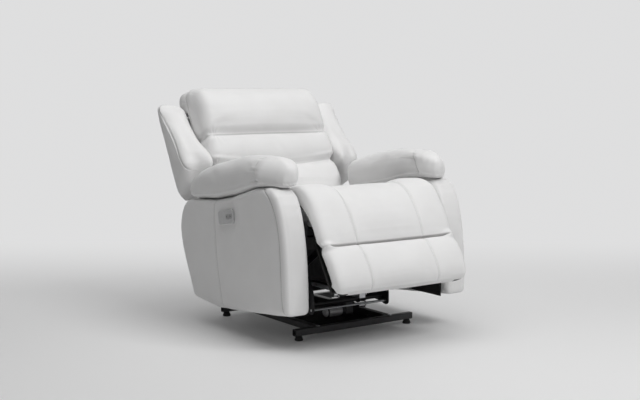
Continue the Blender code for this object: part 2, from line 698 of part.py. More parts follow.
def arm_outline():
    """Side view of an arm, from the curved front panel to the rounded rear."""
    top = arm_top_line()
    front, rear = ARM_FRONT_Y, ARM_REAR_Y
    toe, low, edge = ARM_TOE_Z, ARM_LOW_Z, ARM_EDGE_ROUND
    height = ARM_TOP_FRONT_Z - toe
    length = rear - front
    waist = (ARM_TOP_REAR_Z + low) / 2 + 3 * edge
    brow = (top[0][0] - 2 * edge, ARM_TOP_FRONT_Z - edge)
    heel = (rear - edge * 4, low + edge * 0.6)
    toe_round = edge * 0.6
    outline = top[:-1]
    outline += bezier(top[-1], (rear - edge, ARM_TOP_REAR_Z), (rear, waist + 2 * edge), (rear, waist), 5)
    outline += bezier((rear, waist), (rear - edge * 0.3, waist - 3 * edge),
                      (rear - edge * 2.3, low + edge * 4.3), heel, 6)
    outline += [heel, (front + length * 0.61, low), (front + length * 0.4, low + (toe - low) * 0.35)]
    outline += bezier((front + toe_round, toe), (front + toe_round / 4, toe), (front, toe + toe_round / 4),
                      (front, toe + toe_round), 3)
    outline += bezier((front, toe + toe_round), (front, toe + height * 0.5), (front + edge, toe + height * 0.8),
                      brow, 7)
    outline += bezier(brow, (brow[0] + edge / 2, brow[1] + edge / 2), (top[0][0] - edge / 2, top[0][1]), top[0], 2)
    return outline


def height_on(line, y):
    """Height of a line of (y, z) points at a place along it, level beyond its ends."""
    if y <= line[0][0]:
        return line[0][1]
    for (ya, za), (yb, zb) in zip(line, line[1:]):
        if y <= yb:
            return za + (zb - za) * (y - ya) / (yb - ya)
    return line[-1][1]


def pillow_places():
    """Places along a pillow as (y, share of full size): a long nose, the arm's own points, a short tail."""
    nose = ARM_FRONT_Y + PILLOW_NOSE
    bends = [y for y, _ in arm_top_line()]
    tail = bends[-1] - PILLOW_SLANT - GAP
    places = []
    for step in (1, 2, 3, 4, 5):
        turn = step / 6 * math.pi / 2
        places.append((nose + PILLOW_NOSE_LENGTH * (1 - math.cos(turn)), math.sin(turn)))
    for y in bends[:-1]:
        inside = (nose + PILLOW_NOSE_LENGTH - y) / PILLOW_NOSE_LENGTH
        places.append((y, math.sqrt(1 - inside ** 2) if inside > 0 else 1.0))
    for step in (0, 1, 2, 3):
        turn = step / 4 * math.pi / 2
        places.append((tail - PILLOW_TAIL * (1 - math.sin(turn)), math.cos(turn) ** 0.5))
    return sorted(places)


def pillow_rings(side):
    """Rings of a pillow from its nose to its tail: flat on the arm, full over it, slanted at the rear."""
    inner, outer = ARM_INNER_X - PILLOW_INSIDE, ARM_OUTER_X + PILLOW_OUTSIDE
    middle, half = (inner + outer) / 2, (outer - inner) / 2
    seat = [(y, z + GAP) for y, z in arm_top_line()]
    places = pillow_places()
    cap, tail = ARM_FRONT_Y + PILLOW_NOSE + PILLOW_NOSE_LENGTH, places[-1][0]
    front = (cap, ARM_TOP_FRONT_Z + PILLOW_FRONT_RISE)
    back = (seat[-1][0], ARM_TOP_REAR_Z + PILLOW_REAR_RISE)
    run = (back[0] - front[0]) * 0.3
    crest = bezier(front, (front[0] + run, front[1]), (back[0] - run, back[1] + PILLOW_SLANT), back, 12)
    crest.append(back)
    start = seat[-2][0]
    rings = []
    for y, share in places:
        slant = PILLOW_SLANT * max(0.0, y - start) / (tail - start)
        ring = []
        for turn in (2 * math.pi * (i + 0.5) / ROUND_STEPS for i in range(ROUND_STEPS)):
            across = math.copysign(abs(math.cos(turn)) ** 0.7, math.cos(turn))
            up = math.copysign(abs(math.sin(turn)) ** 0.7, math.sin(turn))
            place_y = y + slant * across
            low, high = height_on(seat, place_y), height_on(crest, place_y)
            z = (low + high) / 2 + (high - low) / 2 * up * share
            ring.append((side * (middle + half * share * across), place_y, z))
        rings.append(ring)
    return rings


def build_arms(body, finish):
    """Upholstered arms, the pillows on them and the apron between them behind."""
    for name, side in SIDES.items():
        (low, low_round), (high, high_round) = sorted(((side * ARM_INNER_X, ARM_INNER_ROUND),
                                                       (side * ARM_OUTER_X, ARM_EDGE_ROUND)))
        stations = edge_stations(low, high, low_round, high_round)
        add(f"arm_{name}", soft_block(arm_outline(), stations, upright_place), finish["cover"], body)
        add(f"arm_pillow_{name}", loft(pillow_rings(side)), finish["cover"], body)
    foot = ARM_REAR_Y - APRON_INSET
    head = foot + APRON_LEAN
    outline = [(foot, APRON_LOW_Z), (foot + APRON_THICKNESS, APRON_LOW_Z),
               (head + APRON_THICKNESS, APRON_TOP_Z), (head, APRON_TOP_Z)]
    reach = ARM_INNER_X - GAP
    add("rear_apron", prism("X", outline, -reach, reach), finish["cover"], body)


# Control plate

def button_center(index):
    """Place of a button in the side view, the first one nearer the front."""
    along = -BUTTON_FORWARD + (index - 0.5) * BUTTON_PITCH
    return turned([(along, 0.0)], (CONTROL_Y, CONTROL_Z), -CONTROL_TILT)[0]


def button_outline(index, grow):
    """A button or its well, turned with the plate."""
    size = BUTTON_SIZE + 2 * grow
    return turned(rounded_box((0.0, 0.0), size, size, BUTTON_CORNER + grow), button_center(index), -CONTROL_TILT)


def build_controls(bodies, finish):
    """The switch plate on the left arm and its two push buttons."""
    back = -(ARM_OUTER_X + GAP)
    front = back - CONTROL_THICKNESS
    flat = rounded_box((0.0, 0.0), CONTROL_LENGTH, CONTROL_HEIGHT, CONTROL_CORNER)
    outline = turned(flat, (CONTROL_Y, CONTROL_Z), -CONTROL_TILT)
    wells = [(button_outline(i, BUTTON_GAP), False, -BUTTON_WELL) for i in range(2)]
    add("control_plate", prism("X", outline, front, back, bosses=wells), finish["plastic"], bodies["chassis"])
    for index, name in enumerate(("open", "close")):
        button = prism("X", button_outline(index, 0.0), front - BUTTON_PROUD, front + BUTTON_SUNK)
        add(f"button_{name}", button, finish["button"], bodies[f"button_{name}"])


# Legrest linkage

def build_links(bodies, finish):
    """Torque tube with drive links, idler links and the carriers that both lift."""
    tube_end = LINK_X + LINK_THICKNESS
    bore = circle(DRIVE_FOOT, TORQUE_TUBE_RADIUS - TUBE_WALL)
    shaft = prism("X", circle(DRIVE_FOOT, TORQUE_TUBE_RADIUS), -tube_end, tube_end, holes=[bore])
    add("torque_tube", shaft, finish["steel"], bodies["drive_links"])
    build_crank(bodies["drive_links"], finish)
    pin_out = LAYER_GAP + LINK_THICKNESS
    pin_in = LAYER_GAP + PLATE_THICKNESS
    for name, side in SIDES.items():
        low, high, out = sided(side, LINK_X, LINK_THICKNESS)
        shape = bar_outline((DRIVE_FOOT, TORQUE_TUBE_RADIUS + LINK_RADIUS / 2), (DRIVE_TOP, LINK_RADIUS))
        link = prism("X", shape, low, high, holes=[circle(DRIVE_FOOT, TORQUE_TUBE_RADIUS + GAP)],
                     bosses=[(circle(DRIVE_TOP, LINK_PIN_RADIUS), out, pin_out)])
        add(f"drive_link_{name}", link, finish["steel"], bodies["drive_links"])
        shape = bar_outline((IDLER_FOOT, LINK_RADIUS), (IDLER_TOP, LINK_RADIUS))
        link = prism("X", shape, low, high, bosses=[(circle(IDLER_TOP, LINK_PIN_RADIUS), out, pin_out),
                                                    (circle(IDLER_FOOT, LINK_PIN_RADIUS), not out, pin_in)])
        add(f"idler_link_{name}", link, finish["steel"], bodies["idler_links"])
        low, high, out = sided(side, CARRIER_X, LINK_THICKNESS)
        bores = [circle(p, LINK_PIN_RADIUS + GAP) for p in (IDLER_TOP, DRIVE_TOP)]
        carrier = prism("X", bent_bar((OTTOMAN_PIVOT, DRIVE_TOP, IDLER_TOP), LINK_RADIUS), low, high, holes=bores,
                        bosses=[(circle(OTTOMAN_PIVOT, LINK_PIN_RADIUS), out, pin_out)])
        add(f"carrier_{name}", carrier, finish["steel"], bodies["carriers"])


def build_crank(body, finish):
    """Slotted arm on the torque tube that the actuator's slider pushes."""
    along = (math.sin(CRANK_MID_TURN), math.cos(CRANK_MID_TURN))
    across = (along[1], -along[0])
    near = shifted(DRIVE_FOOT, along, CRANK_RISE - SLIDER_PIN_RADIUS * 1.5)
    far = shifted(DRIVE_FOOT, along, CRANK_RISE / math.cos(CRANK_SWING) + SLIDER_PIN_RADIUS * 1.5)
    shape = bar_outline((DRIVE_FOOT, CRANK_HUB_RADIUS), (far, CRANK_TIP_RADIUS))
    slot = [shifted(near, across, -CRANK_SLOT_HALF), shifted(near, across, CRANK_SLOT_HALF),
            shifted(far, across, CRANK_SLOT_HALF), shifted(far, across, -CRANK_SLOT_HALF)]
    crank = prism("X", shape, CRANK_X, CRANK_X + CRANK_THICKNESS,
                  holes=[circle(DRIVE_FOOT, TORQUE_TUBE_RADIUS + GAP), slot])
    add("actuator_crank", crank, finish["steel"], body)


# Legrest

CREASE = (CREASE_Y, CREASE_Z)
PAD_DOWN = (-math.sin(LOWER_PAD_TILT), -math.cos(LOWER_PAD_TILT))
PAD_OUT = (-math.cos(LOWER_PAD_TILT), math.sin(LOWER_PAD_TILT))
TOP_UP = (math.sin(UPPER_PAD_TILT), math.cos(UPPER_PAD_TILT))
TOP_OUT = (-math.cos(UPPER_PAD_TILT), math.sin(UPPER_PAD_TILT))
CREASE_BACK = shifted(CREASE, PAD_OUT, -LOWER_PAD_THICKNESS)
BOARD_TOP = shifted(CREASE_BACK, PAD_DOWN, -BOARD_RISE)


def lower_pad_outline():
    """Rounded slab below the crease, its full face first."""
    corner, thick = LOWER_PAD_CORNER, LOWER_PAD_THICKNESS
    start, end = GAP, LOWER_PAD_LENGTH
    belly = LOWER_PAD_BELLY * 4 / 3
    flat = bezier((end - corner, 0.0), (end - 2 * corner, belly), (start + 2 * corner, belly), (start + corner, 0.0), 7)
    flat += arc((start + corner, -corner), corner, math.pi / 2, math.pi, 3)
    flat += between((start, -thick), (end - corner, -thick), 3)
    flat += arc((end - corner, corner - thick), corner, 1.5 * math.pi, 2 * math.pi, 3)
    flat += arc((end - corner, -corner), corner, 0.0, math.pi / 2, 3)[:-1]
    return [shifted(shifted(CREASE, PAD_DOWN, along), PAD_OUT, depth) for along, depth in flat]


def upper_pad_outline():
    """Deep curved pad from the crease up over the crown and down to its heel, its full face first."""
    start = shifted(shifted(CREASE, PAD_DOWN, -LOWER_PAD_CORNER / 2), PAD_OUT, -LOWER_PAD_CORNER / 5)
    crown = shifted(CREASE, TOP_UP, UPPER_PAD_LENGTH)
    third = UPPER_PAD_LENGTH / 3
    heel = (UPPER_PAD_REAR_Y - LOWER_PAD_CORNER / 2, UPPER_PAD_HEEL_Z)
    rear = (UPPER_PAD_REAR_Y, (crown[1] + heel[1]) / 2)
    depth = UPPER_PAD_REAR_Y - crown[0]
    outline = bezier(start, shifted(shifted(start, TOP_UP, third), TOP_OUT, UPPER_PAD_BULGE),
                     (crown[0] - third, crown[1]), crown, 9)
    outline += bezier(crown, (crown[0] + depth * 0.6, crown[1]), (rear[0], crown[1] - depth / 4), rear, 6)
    outline += bezier(rear, (rear[0], rear[1] - depth / 4), (heel[0], heel[1] + depth / 8), heel, 3)
    outline += between(heel, BOARD_TOP, 4)
    outline += between(BOARD_TOP, shifted(CREASE_BACK, PAD_DOWN, -GAP), 2)
    outline.append(shifted(CREASE_BACK, PAD_DOWN, -GAP))
    outline.append(shifted(shifted(CREASE, PAD_OUT, -LOWER_PAD_CORNER), PAD_DOWN, -GAP))
    return outline


def build_legrest(body, finish):
    """Two sewn pads on a board, with a steel bracket at each side."""
    dips = [(x, PAD_SEAM_HALF, PAD_SEAM_DEPTH) for x in (-PAD_SEAM_X, PAD_SEAM_X)]
    middle = sorted([0.0] + [x + step for x, half, _ in dips for step in (-half, 0.0, half)])
    stations = edge_stations(-LEGREST_HALF, LEGREST_HALF, PAD_EDGE_ROUND, PAD_EDGE_ROUND, middle=middle)
    for name, outline, out, face in (("lower", lower_pad_outline(), PAD_OUT, range(8)),
                                     ("upper", upper_pad_outline(), TOP_OUT, range(1, 12))):
        def place(x, point, rise, out=out):
            return (x, *shifted(point, out, rise))

        pad = soft_block(outline, stations, place, crown=PAD_CROWN, face=face, dips=dips)
        add(f"legrest_pad_{name}", pad, finish["cover"], body)

    tip = shifted(CREASE_BACK, PAD_DOWN, LOWER_PAD_LENGTH - BOARD_MARGIN)
    board = [shifted(tip, PAD_OUT, -GAP), shifted(BOARD_TOP, PAD_OUT, -GAP),
             shifted(BOARD_TOP, PAD_OUT, -GAP - BOARD_THICKNESS), shifted(tip, PAD_OUT, -GAP - BOARD_THICKNESS)]
    half = LEGREST_HALF - BOARD_MARGIN
    add("ottoman_board", prism("X", board, -half, half), finish["wood"], body)

    foot = LINK_RADIUS * 0.6
    behind = shifted(CREASE_BACK, PAD_OUT, -2 * GAP - BOARD_THICKNESS - foot)
    feet = [shifted(behind, PAD_DOWN, LOWER_PAD_LENGTH * share) for share in (-0.2, 0.5)]
    shape = bar_outline((OTTOMAN_PIVOT, LINK_RADIUS), *[(place, foot) for place in feet])
    for name, side in SIDES.items():
        low, high, _ = sided(side, OTTOMAN_X, LINK_THICKNESS)
        bracket = prism("X", shape, low, high, holes=[circle(OTTOMAN_PIVOT, LINK_PIN_RADIUS + GAP)])
        add(f"ottoman_bracket_{name}", bracket, finish["steel"], body)


# Actuator

def build_actuator(bodies, finish):
    """Guide, gearbox and motor under the seat, and the slider that drives the crank."""
    chassis = bodies["chassis"]
    rear = CROSS_RAIL_REAR_Y + CROSS_RAIL_SIZE / 2
    ear_front = CROSS_RAIL_REAR_Y - CROSS_RAIL_SIZE / 2
    ear_top = CROSS_RAIL_Z - CROSS_RAIL_SIZE / 2 - GAP
    outline = [(GUIDE_FRONT_Y, GUIDE_Z), (rear, GUIDE_Z), (rear, ear_top), (ear_front, ear_top),
               (ear_front - CROSS_RAIL_SIZE, GUIDE_TOP_Z), (GUIDE_FRONT_Y, GUIDE_TOP_Z)]
    guide_x = ACTUATOR_X - GUIDE_WIDTH / 2
    add("actuator_guide", prism("X", outline, guide_x, guide_x + GUIDE_WIDTH), finish["bright"], chassis)

    box_y = TUBE_AXIS_Y + GEARBOX_BEHIND
    box_top = GUIDE_Z - GAP
    box = rounded_box((box_y, box_top - GEARBOX_HEIGHT / 2), GEARBOX_LENGTH, GEARBOX_HEIGHT, GEARBOX_CORNER)
    box_x = ACTUATOR_X - GEARBOX_WIDTH / 2
    add("actuator_gearbox", prism("X", box, box_x, box_x + GEARBOX_WIDTH), finish["plastic_dark"], chassis)
    axis = (box_y, box_top - GEARBOX_HEIGHT + MOTOR_RADIUS)
    start = box_x - GAP
    end = start - MOTOR_LENGTH
    nose = MOTOR_RADIUS * 0.2
    levels = ((start, MOTOR_RADIUS), (end + 2 * nose, MOTOR_RADIUS), (end + nose, MOTOR_RADIUS - nose),
              (end, MOTOR_RADIUS - 2 * nose))
    rings = [[(x, y, z) for y, z in circle(axis, radius)] for x, radius in levels]
    add("actuator_motor", loft(rings), finish["motor"], chassis)

    block = rounded_box(SLIDER_PIN, SLIDER_LENGTH, SLIDER_HEIGHT, SLIDER_PIN_RADIUS)
    slider_x = ACTUATOR_X - SLIDER_WIDTH / 2
    reach = CRANK_X + CRANK_THICKNESS - slider_x - SLIDER_WIDTH
    pin = (circle(SLIDER_PIN, SLIDER_PIN_RADIUS), True, reach)
    slider = prism("X", block, slider_x, slider_x + SLIDER_WIDTH, bosses=[pin])
    add("actuator_slider", slider, finish["plastic_dark"], bodies["actuator_slider"])


# Back

def build_back_frame(body, finish):
    """Hinge brackets, uprights, rails and the outer back panel."""
    center = (FRAME_FRONT + FRAME_REAR) / 2
    half = FRAME_DEPTH / 2
    for name, side in SIDES.items():
        low, high, out = sided(side, LINK_X, LINK_THICKNESS)
        path = [HINGE, back_point(0.0, center), back_point(LUMBAR_END, center)]
        bracket = prism("X", bent_bar(path, half), low, high,
                        bosses=[(circle(HINGE, LINK_PIN_RADIUS), not out, LAYER_GAP + PLATE_THICKNESS)])
        add(f"back_bracket_{name}", bracket, finish["steel"], body)
        low, high, _ = sided(side, UPRIGHT_X, UPRIGHT_WIDTH)
        shape = [back_point(*p) for p in box_outline((LUMBAR_START, FRAME_REAR), (BACK_FRAME_TOP, FRAME_FRONT))]
        add(f"back_upright_{name}", prism("X", shape, low, high), finish["wood"], body)
    reach = UPRIGHT_X - GAP
    for name, start in (("low", LUMBAR_END + FRAME_DEPTH), ("top", BACK_FRAME_TOP - FRAME_DEPTH)):
        rail = box_outline((start, FRAME_REAR), (start + FRAME_DEPTH, FRAME_FRONT))
        add(f"back_rail_{name}", prism("X", [back_point(*p) for p in rail], -reach, reach), finish["wood"], body)
    panel = rounded_box(((PANEL_START + PANEL_TOP) / 2, (PANEL_FACE + PANEL_SKIN) / 2), PANEL_TOP - PANEL_START,
                        PANEL_THICKNESS, PANEL_ROUND)
    stations = edge_stations(-BACK_HALF_WIDTH, BACK_HALF_WIDTH, PANEL_ROUND, PANEL_ROUND, middle=(0.0,), steps=2)
    add("back_panel", soft_block(panel, stations, back_place), finish["cover"], body)


def plain_pad(start, end, foot):
    """Side view of a back cushion between two seams, its full face first, drawn in over its foot."""
    edge, swell = PAD_SWELL, PAD_SWELL * 4 / 3
    seam = BACK_FACE - edge
    face = BACK_FACE
    outline = bezier((end - edge / 2, face), (end - 2 * edge, face + swell), (start + foot, face + swell),
                     (start + edge / 2, face), 9)
    outline += bezier((start + edge / 2, face), (start + edge / 6, face - edge / 3), (start, face - edge / 2),
                      (start, seam), 2)
    outline += between((start, seam), (start, PAD_BACK), 2) + between((start, PAD_BACK), (end, PAD_BACK), 3)
    outline += between((end, PAD_BACK), (end, seam), 2)
    outline += bezier((end, seam), (end, face - edge / 2), (end - edge / 6, face - edge / 3),
                      (end - edge / 2, face), 2)
    return outline


def head_pad():
    """Side view of the head cushion, which wraps over the top of the frame, its full face first."""
    edge = PAD_SWELL
    face = BACK_FACE
    full = face + edge
    start, end = MID_END, HEAD_END
    under = BACK_FRAME_TOP + GAP
    middle = (PANEL_SKIN + face) / 2
    brow = end - (end - start) * 0.45
    outline = bezier((end, middle), (end, face), (brow + 2 * edge, full), (brow, full), 7)
    outline += bezier((brow, full), (start + 2 * edge, full), (start + edge, face + edge / 2),
                      (start + edge / 2, face), 5)
    outline += bezier((start + edge / 2, face), (start + edge / 6, face - edge / 3), (start, face - edge / 2),
                      (start, face - edge), 2)
    outline += between((start, face - edge), (start, PAD_BACK), 2)
    outline += between((start, PAD_BACK), (under, PAD_BACK), 3)
    outline += between((under, PAD_BACK), (under, PANEL_SKIN), 3)
    outline += bezier((under, PANEL_SKIN), (end - edge, PANEL_SKIN), (end, PANEL_SKIN + 2 * edge), (end, middle), 6)
    return outline


def build_back_pads(body, finish):
    """Lumbar, middle and head cushions, each with a crown and drawn-in sides."""
    half = BACK_HALF_WIDTH
    stations = edge_stations(-half, half, BACK_EDGE_ROUND, BACK_EDGE_ROUND, middle=(-half / 2, 0.0, half / 2))
    for name, outline, face in (("lumbar", plain_pad(LUMBAR_START, LUMBAR_END - GAP, LUMBAR_FOOT), range(1, 6)),
                                ("mid", plain_pad(LUMBAR_END, MID_END - GAP, 2 * PAD_SWELL), range(1, 9)),
                                ("head", head_pad(), range(3, 12))):
        pad = soft_block(outline, stations, back_place, crown=BACK_CROWN, face=face)
        add(f"back_pad_{name}", pad, finish["cover"], body)


def wing_outline():
    """Side view of a wing: thin at the top, full at the knee and cut back below it."""
    top, knee, rear = WING_TOP, WING_KNEE, PANEL_SKIN
    edge = WING_ROUND
    full = BACK_FACE + edge * 0.2
    brow = (top - edge * 0.6, rear + edge * 2.75)
    waist = (MID_END - edge / 3, BACK_FACE - edge)
    hollow = (knee - edge * 1.8, BACK_FACE - edge * 1.65)
    outline = bezier((top - edge * 0.6, rear), (top, rear + edge / 2), (top + edge / 6, rear + edge * 2), brow, 6)
    outline += bezier(brow, (waist[0] + edge * 3, waist[1] - edge), (waist[0] + edge, waist[1] - edge / 3), waist, 5)
    outline += bezier(waist, (waist[0] - edge * 1.5, waist[1] + edge / 2), (knee + edge, full), (knee, full), 5)
    outline += bezier((knee, full), (knee - edge * 0.7, full), (hollow[0] + edge / 2, hollow[1] + edge), hollow, 5)
    outline += between(hollow, (knee - edge * 3.2, rear + edge / 3), 3)
    outline += between((knee - edge * 3.2, rear + edge / 3), (knee - edge * 2.6, rear), 2)
    outline += between((knee - edge * 2.6, rear), (top - edge * 0.6, rear), 3)
    return outline


def build_wings(body, finish):
    """Padded wings beside the cushions."""
    start = BACK_HALF_WIDTH + GAP
    for name, side in SIDES.items():
        ends = sorted((side * start, side * (start + WING_WIDTH)))
        stations = edge_stations(*ends, WING_ROUND, WING_ROUND, steps=4)
        add(f"back_wing_{name}", soft_block(wing_outline(), stations, back_place), finish["cover"], body)


def main():
    """Build every piece of the chair."""
    clear_scene()
    finish = {
        "cover": make_material("cover", (0.78, 0.78, 0.78), 0.48),
        "steel": make_material("black_steel", (0.025, 0.025, 0.027), 0.45, 0.7),
        "base": make_material("base_steel", (0.07, 0.07, 0.075), 0.42, 0.7),
        "bright": make_material("zinc_steel", (0.62, 0.63, 0.65), 0.35, 1.0),
        "spring": make_material("spring_steel", (0.16, 0.16, 0.17), 0.35, 0.9),
        "rubber": make_material("rubber", (0.03, 0.03, 0.03), 0.8),
        "wood": make_material("plywood", (0.030, 0.026, 0.023), 0.65),
        "plastic": make_material("grey_plastic", (0.42, 0.42, 0.43), 0.4),
        "button": make_material("button_plastic", (0.10, 0.10, 0.11), 0.45),
        "plastic_dark": make_material("black_plastic", (0.03, 0.03, 0.032), 0.5),
        "motor": make_material("motor_shell", (0.70, 0.70, 0.72), 0.4, 0.3),
    }
    bodies = {"base": make_body("base", (0.0, 0.0), None)}
    for name, parent, pivot in (("chassis", "base", PIVOT), ("drive_links", "chassis", DRIVE_FOOT),
                                ("idler_links", "chassis", IDLER_FOOT), ("carriers", "drive_links", DRIVE_TOP),
                                ("ottoman", "carriers", OTTOMAN_PIVOT),
                                ("actuator_slider", "chassis", SLIDER_PIN), ("back", "chassis", HINGE),
                                ("button_open", "chassis", button_center(0)),
                                ("button_close", "chassis", button_center(1))):
        bodies[name] = make_body(f"{name}_axis", pivot, bodies[parent])
    build_base(bodies["base"], finish)
    build_side_plates(bodies["chassis"], finish)
    build_cross_members(bodies["chassis"], finish)
    build_seat(bodies["chassis"], finish)
    build_arms(bodies["chassis"], finish)
    build_controls(bodies, finish)
    build_links(bodies, finish)
    build_legrest(bodies["ottoman"], finish)
    build_actuator(bodies, finish)
    build_back_frame(bodies["back"], finish)
    build_back_pads(bodies["back"], finish)
    build_wings(bodies["back"], finish)


main()
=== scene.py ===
"""Dressed power rocker recliner: leather covers, seams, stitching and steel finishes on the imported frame."""
import json
import math

import bmesh
import bpy
import numpy as np
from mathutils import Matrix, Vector
from mathutils.bvhtree import BVHTree


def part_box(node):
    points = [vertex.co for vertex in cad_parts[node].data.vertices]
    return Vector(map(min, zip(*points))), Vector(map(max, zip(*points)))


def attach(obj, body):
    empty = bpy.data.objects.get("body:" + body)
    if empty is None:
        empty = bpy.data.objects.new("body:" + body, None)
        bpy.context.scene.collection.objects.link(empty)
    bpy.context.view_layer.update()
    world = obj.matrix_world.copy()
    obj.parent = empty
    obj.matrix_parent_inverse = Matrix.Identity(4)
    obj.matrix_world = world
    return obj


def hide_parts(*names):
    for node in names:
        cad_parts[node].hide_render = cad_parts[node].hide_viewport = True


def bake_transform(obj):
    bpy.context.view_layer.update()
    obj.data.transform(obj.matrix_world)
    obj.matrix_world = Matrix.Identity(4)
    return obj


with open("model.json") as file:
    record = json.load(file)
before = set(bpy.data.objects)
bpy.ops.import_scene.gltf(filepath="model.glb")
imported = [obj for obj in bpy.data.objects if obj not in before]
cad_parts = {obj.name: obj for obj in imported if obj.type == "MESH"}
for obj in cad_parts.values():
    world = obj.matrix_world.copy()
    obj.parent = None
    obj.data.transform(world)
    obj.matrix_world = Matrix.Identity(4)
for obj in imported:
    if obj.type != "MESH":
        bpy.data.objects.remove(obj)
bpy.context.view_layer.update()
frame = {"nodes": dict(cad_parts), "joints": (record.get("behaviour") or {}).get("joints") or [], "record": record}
CAD = frame["nodes"]


def pivot(name):
    """Where a joint of the part turns."""
    return next(j["pos_m"] for j in frame["joints"] if j["name"] == name)


# Places taken over from the part, in metres
HINGE = pivot("recline")
SHIFT_Y = HINGE[1] - 0.255    # from the part's own layout to the frame
BACK_LEAN = math.radians(27.0)
BACK_HALF = 0.334             # half the width between the wings
PAD_BACK = -0.070             # rear of the back cushions, square to the back from the hinge
PANEL_SKIN = -0.1406          # outside of the back panel, measured the same way
HEAD_SEAM = 0.395             # along the back from the hinge
LUMBAR_SEAM = 0.237           # measured the same way
LUMBAR_LIFT = 0.024           # the lumbar seam rises towards its ends
BOXING_SEAM = -0.048          # seam round the side and top of the head section
CREASE = np.array((-0.500 + SHIFT_Y, 0.417))  # between the legrest's tiers, y and z
LOWER_TILT = math.radians(32.0)
LEGREST_HEART = np.array((-0.28, 0.30))       # what the upper tier bends round
PAD_SEAM_X = 0.165
ARM_INNER_X = 0.342
PILLOW_MID_X = 0.387
PILLOW_MID_Z = 0.682
CONTROL_SPOT = (-0.006 + SHIFT_Y, 0.486)
CONTROL_TILT = math.radians(-10.0)
CONTROL_FACE_X = -0.4663
LINK_OUTER_X = 0.2085         # outside of the carriers
BRACKET_OUTER_X = 0.2155      # outside of the legrest brackets
PLATE_INNER_X = 0.1895
PLATE_OUTER_X = 0.1945
BOX_HALF = 0.338              # half the room between the linings of the arms
DECK_EDGE = (0.1742, 0.391)   # rear edge of the seat deck, y and z
APRON_WAY = (0.111, 0.114)    # from there back and down to the apron
PLATE_FOOT = 0.645            # share of that way that the side plates reach down
REAR_CLOTH_SAG = 0.016
APRON_BEND_Z = 0.130
APRON_TOP_Z = 0.280
APRON_HEM = 0.018
SIDES = {"left": -1, "right": 1}
UP_BACK = np.array((0.0, math.sin(BACK_LEAN), math.cos(BACK_LEAN)))
OUT_BACK = np.array((0.0, -math.cos(BACK_LEAN), math.sin(BACK_LEAN)))

# Seams and sizes of what is added to the part
STITCH_OFF = 0.006            # how far a row of stitches lies from its seam
WING_SEAM = 0.016             # behind a wing's front
PANEL_SEAM_X = 0.19
PANEL_HEM = 0.03              # along the back from the hinge
SEAT_SEAM_X = 0.262
OUTSIDE_X = -0.7              # rays for stitches start here, well outside the left arm
BEHIND_BACK = -0.4            # and here, well behind the back
CLOTH_THICKNESS = 0.0012
WASHER_SPREAD = 1.45          # a washer's width and height, as shares of its bolt head's
WASHER_SHARE = 0.35

# The room, its light and the camera
WORLD_LIGHT = 0.115
PAPER_SEEN = 0.735            # tone of the paper and the air to the camera
SWEEP_FLOOR = 6.0             # how far behind the chair the paper starts to rise
SWEEP_RADIUS = 2.5
SWEEP_TURN = math.radians(-35.0)
LAMPS = {"key": ((0.9, -3.5, 4.1), (0, 0, 0.45), (2.6, 2.2), 130),  # place, aim, size, power
         "top": ((-0.5, -0.2, 4.3), (0, 0, 0), (4.2, 4.2), 88)}
CAMERA_PLACE = (-2.6859, -3.8410 + SHIFT_Y, 1.0269)
CAMERA_AIM = (0.0024, -0.0017 + SHIFT_Y, 0.5261)


# Small tools for vertex arrays

def smooth(values, low, high):
    """Goes smoothly from 0 at low to 1 at high."""
    t = np.clip((values - low) / (high - low), 0.0, 1.0)
    return t * t * (3 - 2 * t)


def hill(distance, half):
    """1 on a line, falling smoothly to 0 at half on either side."""
    return 1.0 - smooth(np.abs(distance), 0.0, half)


def ripple(points, length, seed):
    """Soft unevenness of foam and hide, about -1 to 1, with waves near a given length."""
    rng = np.random.default_rng(seed)
    total = np.zeros(len(points))
    for _ in range(7):
        way = rng.normal(size=3)
        way *= 2 * math.pi / (length * rng.uniform(0.7, 1.6) * np.linalg.norm(way))
        total += np.sin(points @ way + rng.uniform(0, 2 * math.pi))
    return total / 3.2


def puckers(across, up, count, reach):
    """Small folds that fan out from the end of a seam."""
    away = np.hypot(across, up)
    return np.sin(count * np.arctan2(up, across)) * smooth(away, 0.0, 0.01) * np.exp(-away / reach)


def read(items, key, width=1, kind=np.int32):
    """One property of all items of a mesh as a flat array."""
    data = np.empty(len(items) * width, kind)
    items.foreach_get(key, data)
    return data


def coords(obj):
    return read(obj.data.vertices, "co", 3, float).reshape(-1, 3)


def normals(obj):
    return read(obj.data.vertex_normals, "vector", 3, np.float32).reshape(-1, 3).astype(float)


def put(obj, points):
    obj.data.vertices.foreach_set("co", np.ascontiguousarray(points, np.float32).ravel())
    obj.data.update()


def back_places(points):
    """Along the back from the hinge, and forward square to it."""
    s, c = math.sin(BACK_LEAN), math.cos(BACK_LEAN)
    dy, dz = points[:, 1] - HINGE[1], points[:, 2] - HINGE[2]
    return dy * s + dz * c, -dy * c + dz * s


def back_point(x, along, forward):
    s, c = math.sin(BACK_LEAN), math.cos(BACK_LEAN)
    return Vector((x, HINGE[1] + along * s - forward * c, HINGE[2] + along * c + forward * s))


# Meshes

def keep(name, mesh):
    """A bmesh as a linked object at the origin."""
    data = bpy.data.meshes.new(name)
    mesh.to_mesh(data)
    mesh.free()
    obj = bpy.data.objects.new(name, data)
    bpy.context.scene.collection.objects.link(obj)
    return obj


def opened(obj):
    """An object's mesh as a bmesh."""
    mesh = bmesh.new()
    mesh.from_mesh(obj.data)
    return mesh


def write_back(mesh, obj):
    mesh.to_mesh(obj.data)
    mesh.free()


def bridge(mesh, rows, closed=False):
    """Faces between neighbouring rows of points; a closed row joins its end to its start."""
    for one, other in zip(rows, rows[1:]):
        for i in range(0 if closed else 1, len(one)):
            mesh.faces.new((one[i - 1], one[i], other[i], other[i - 1]))


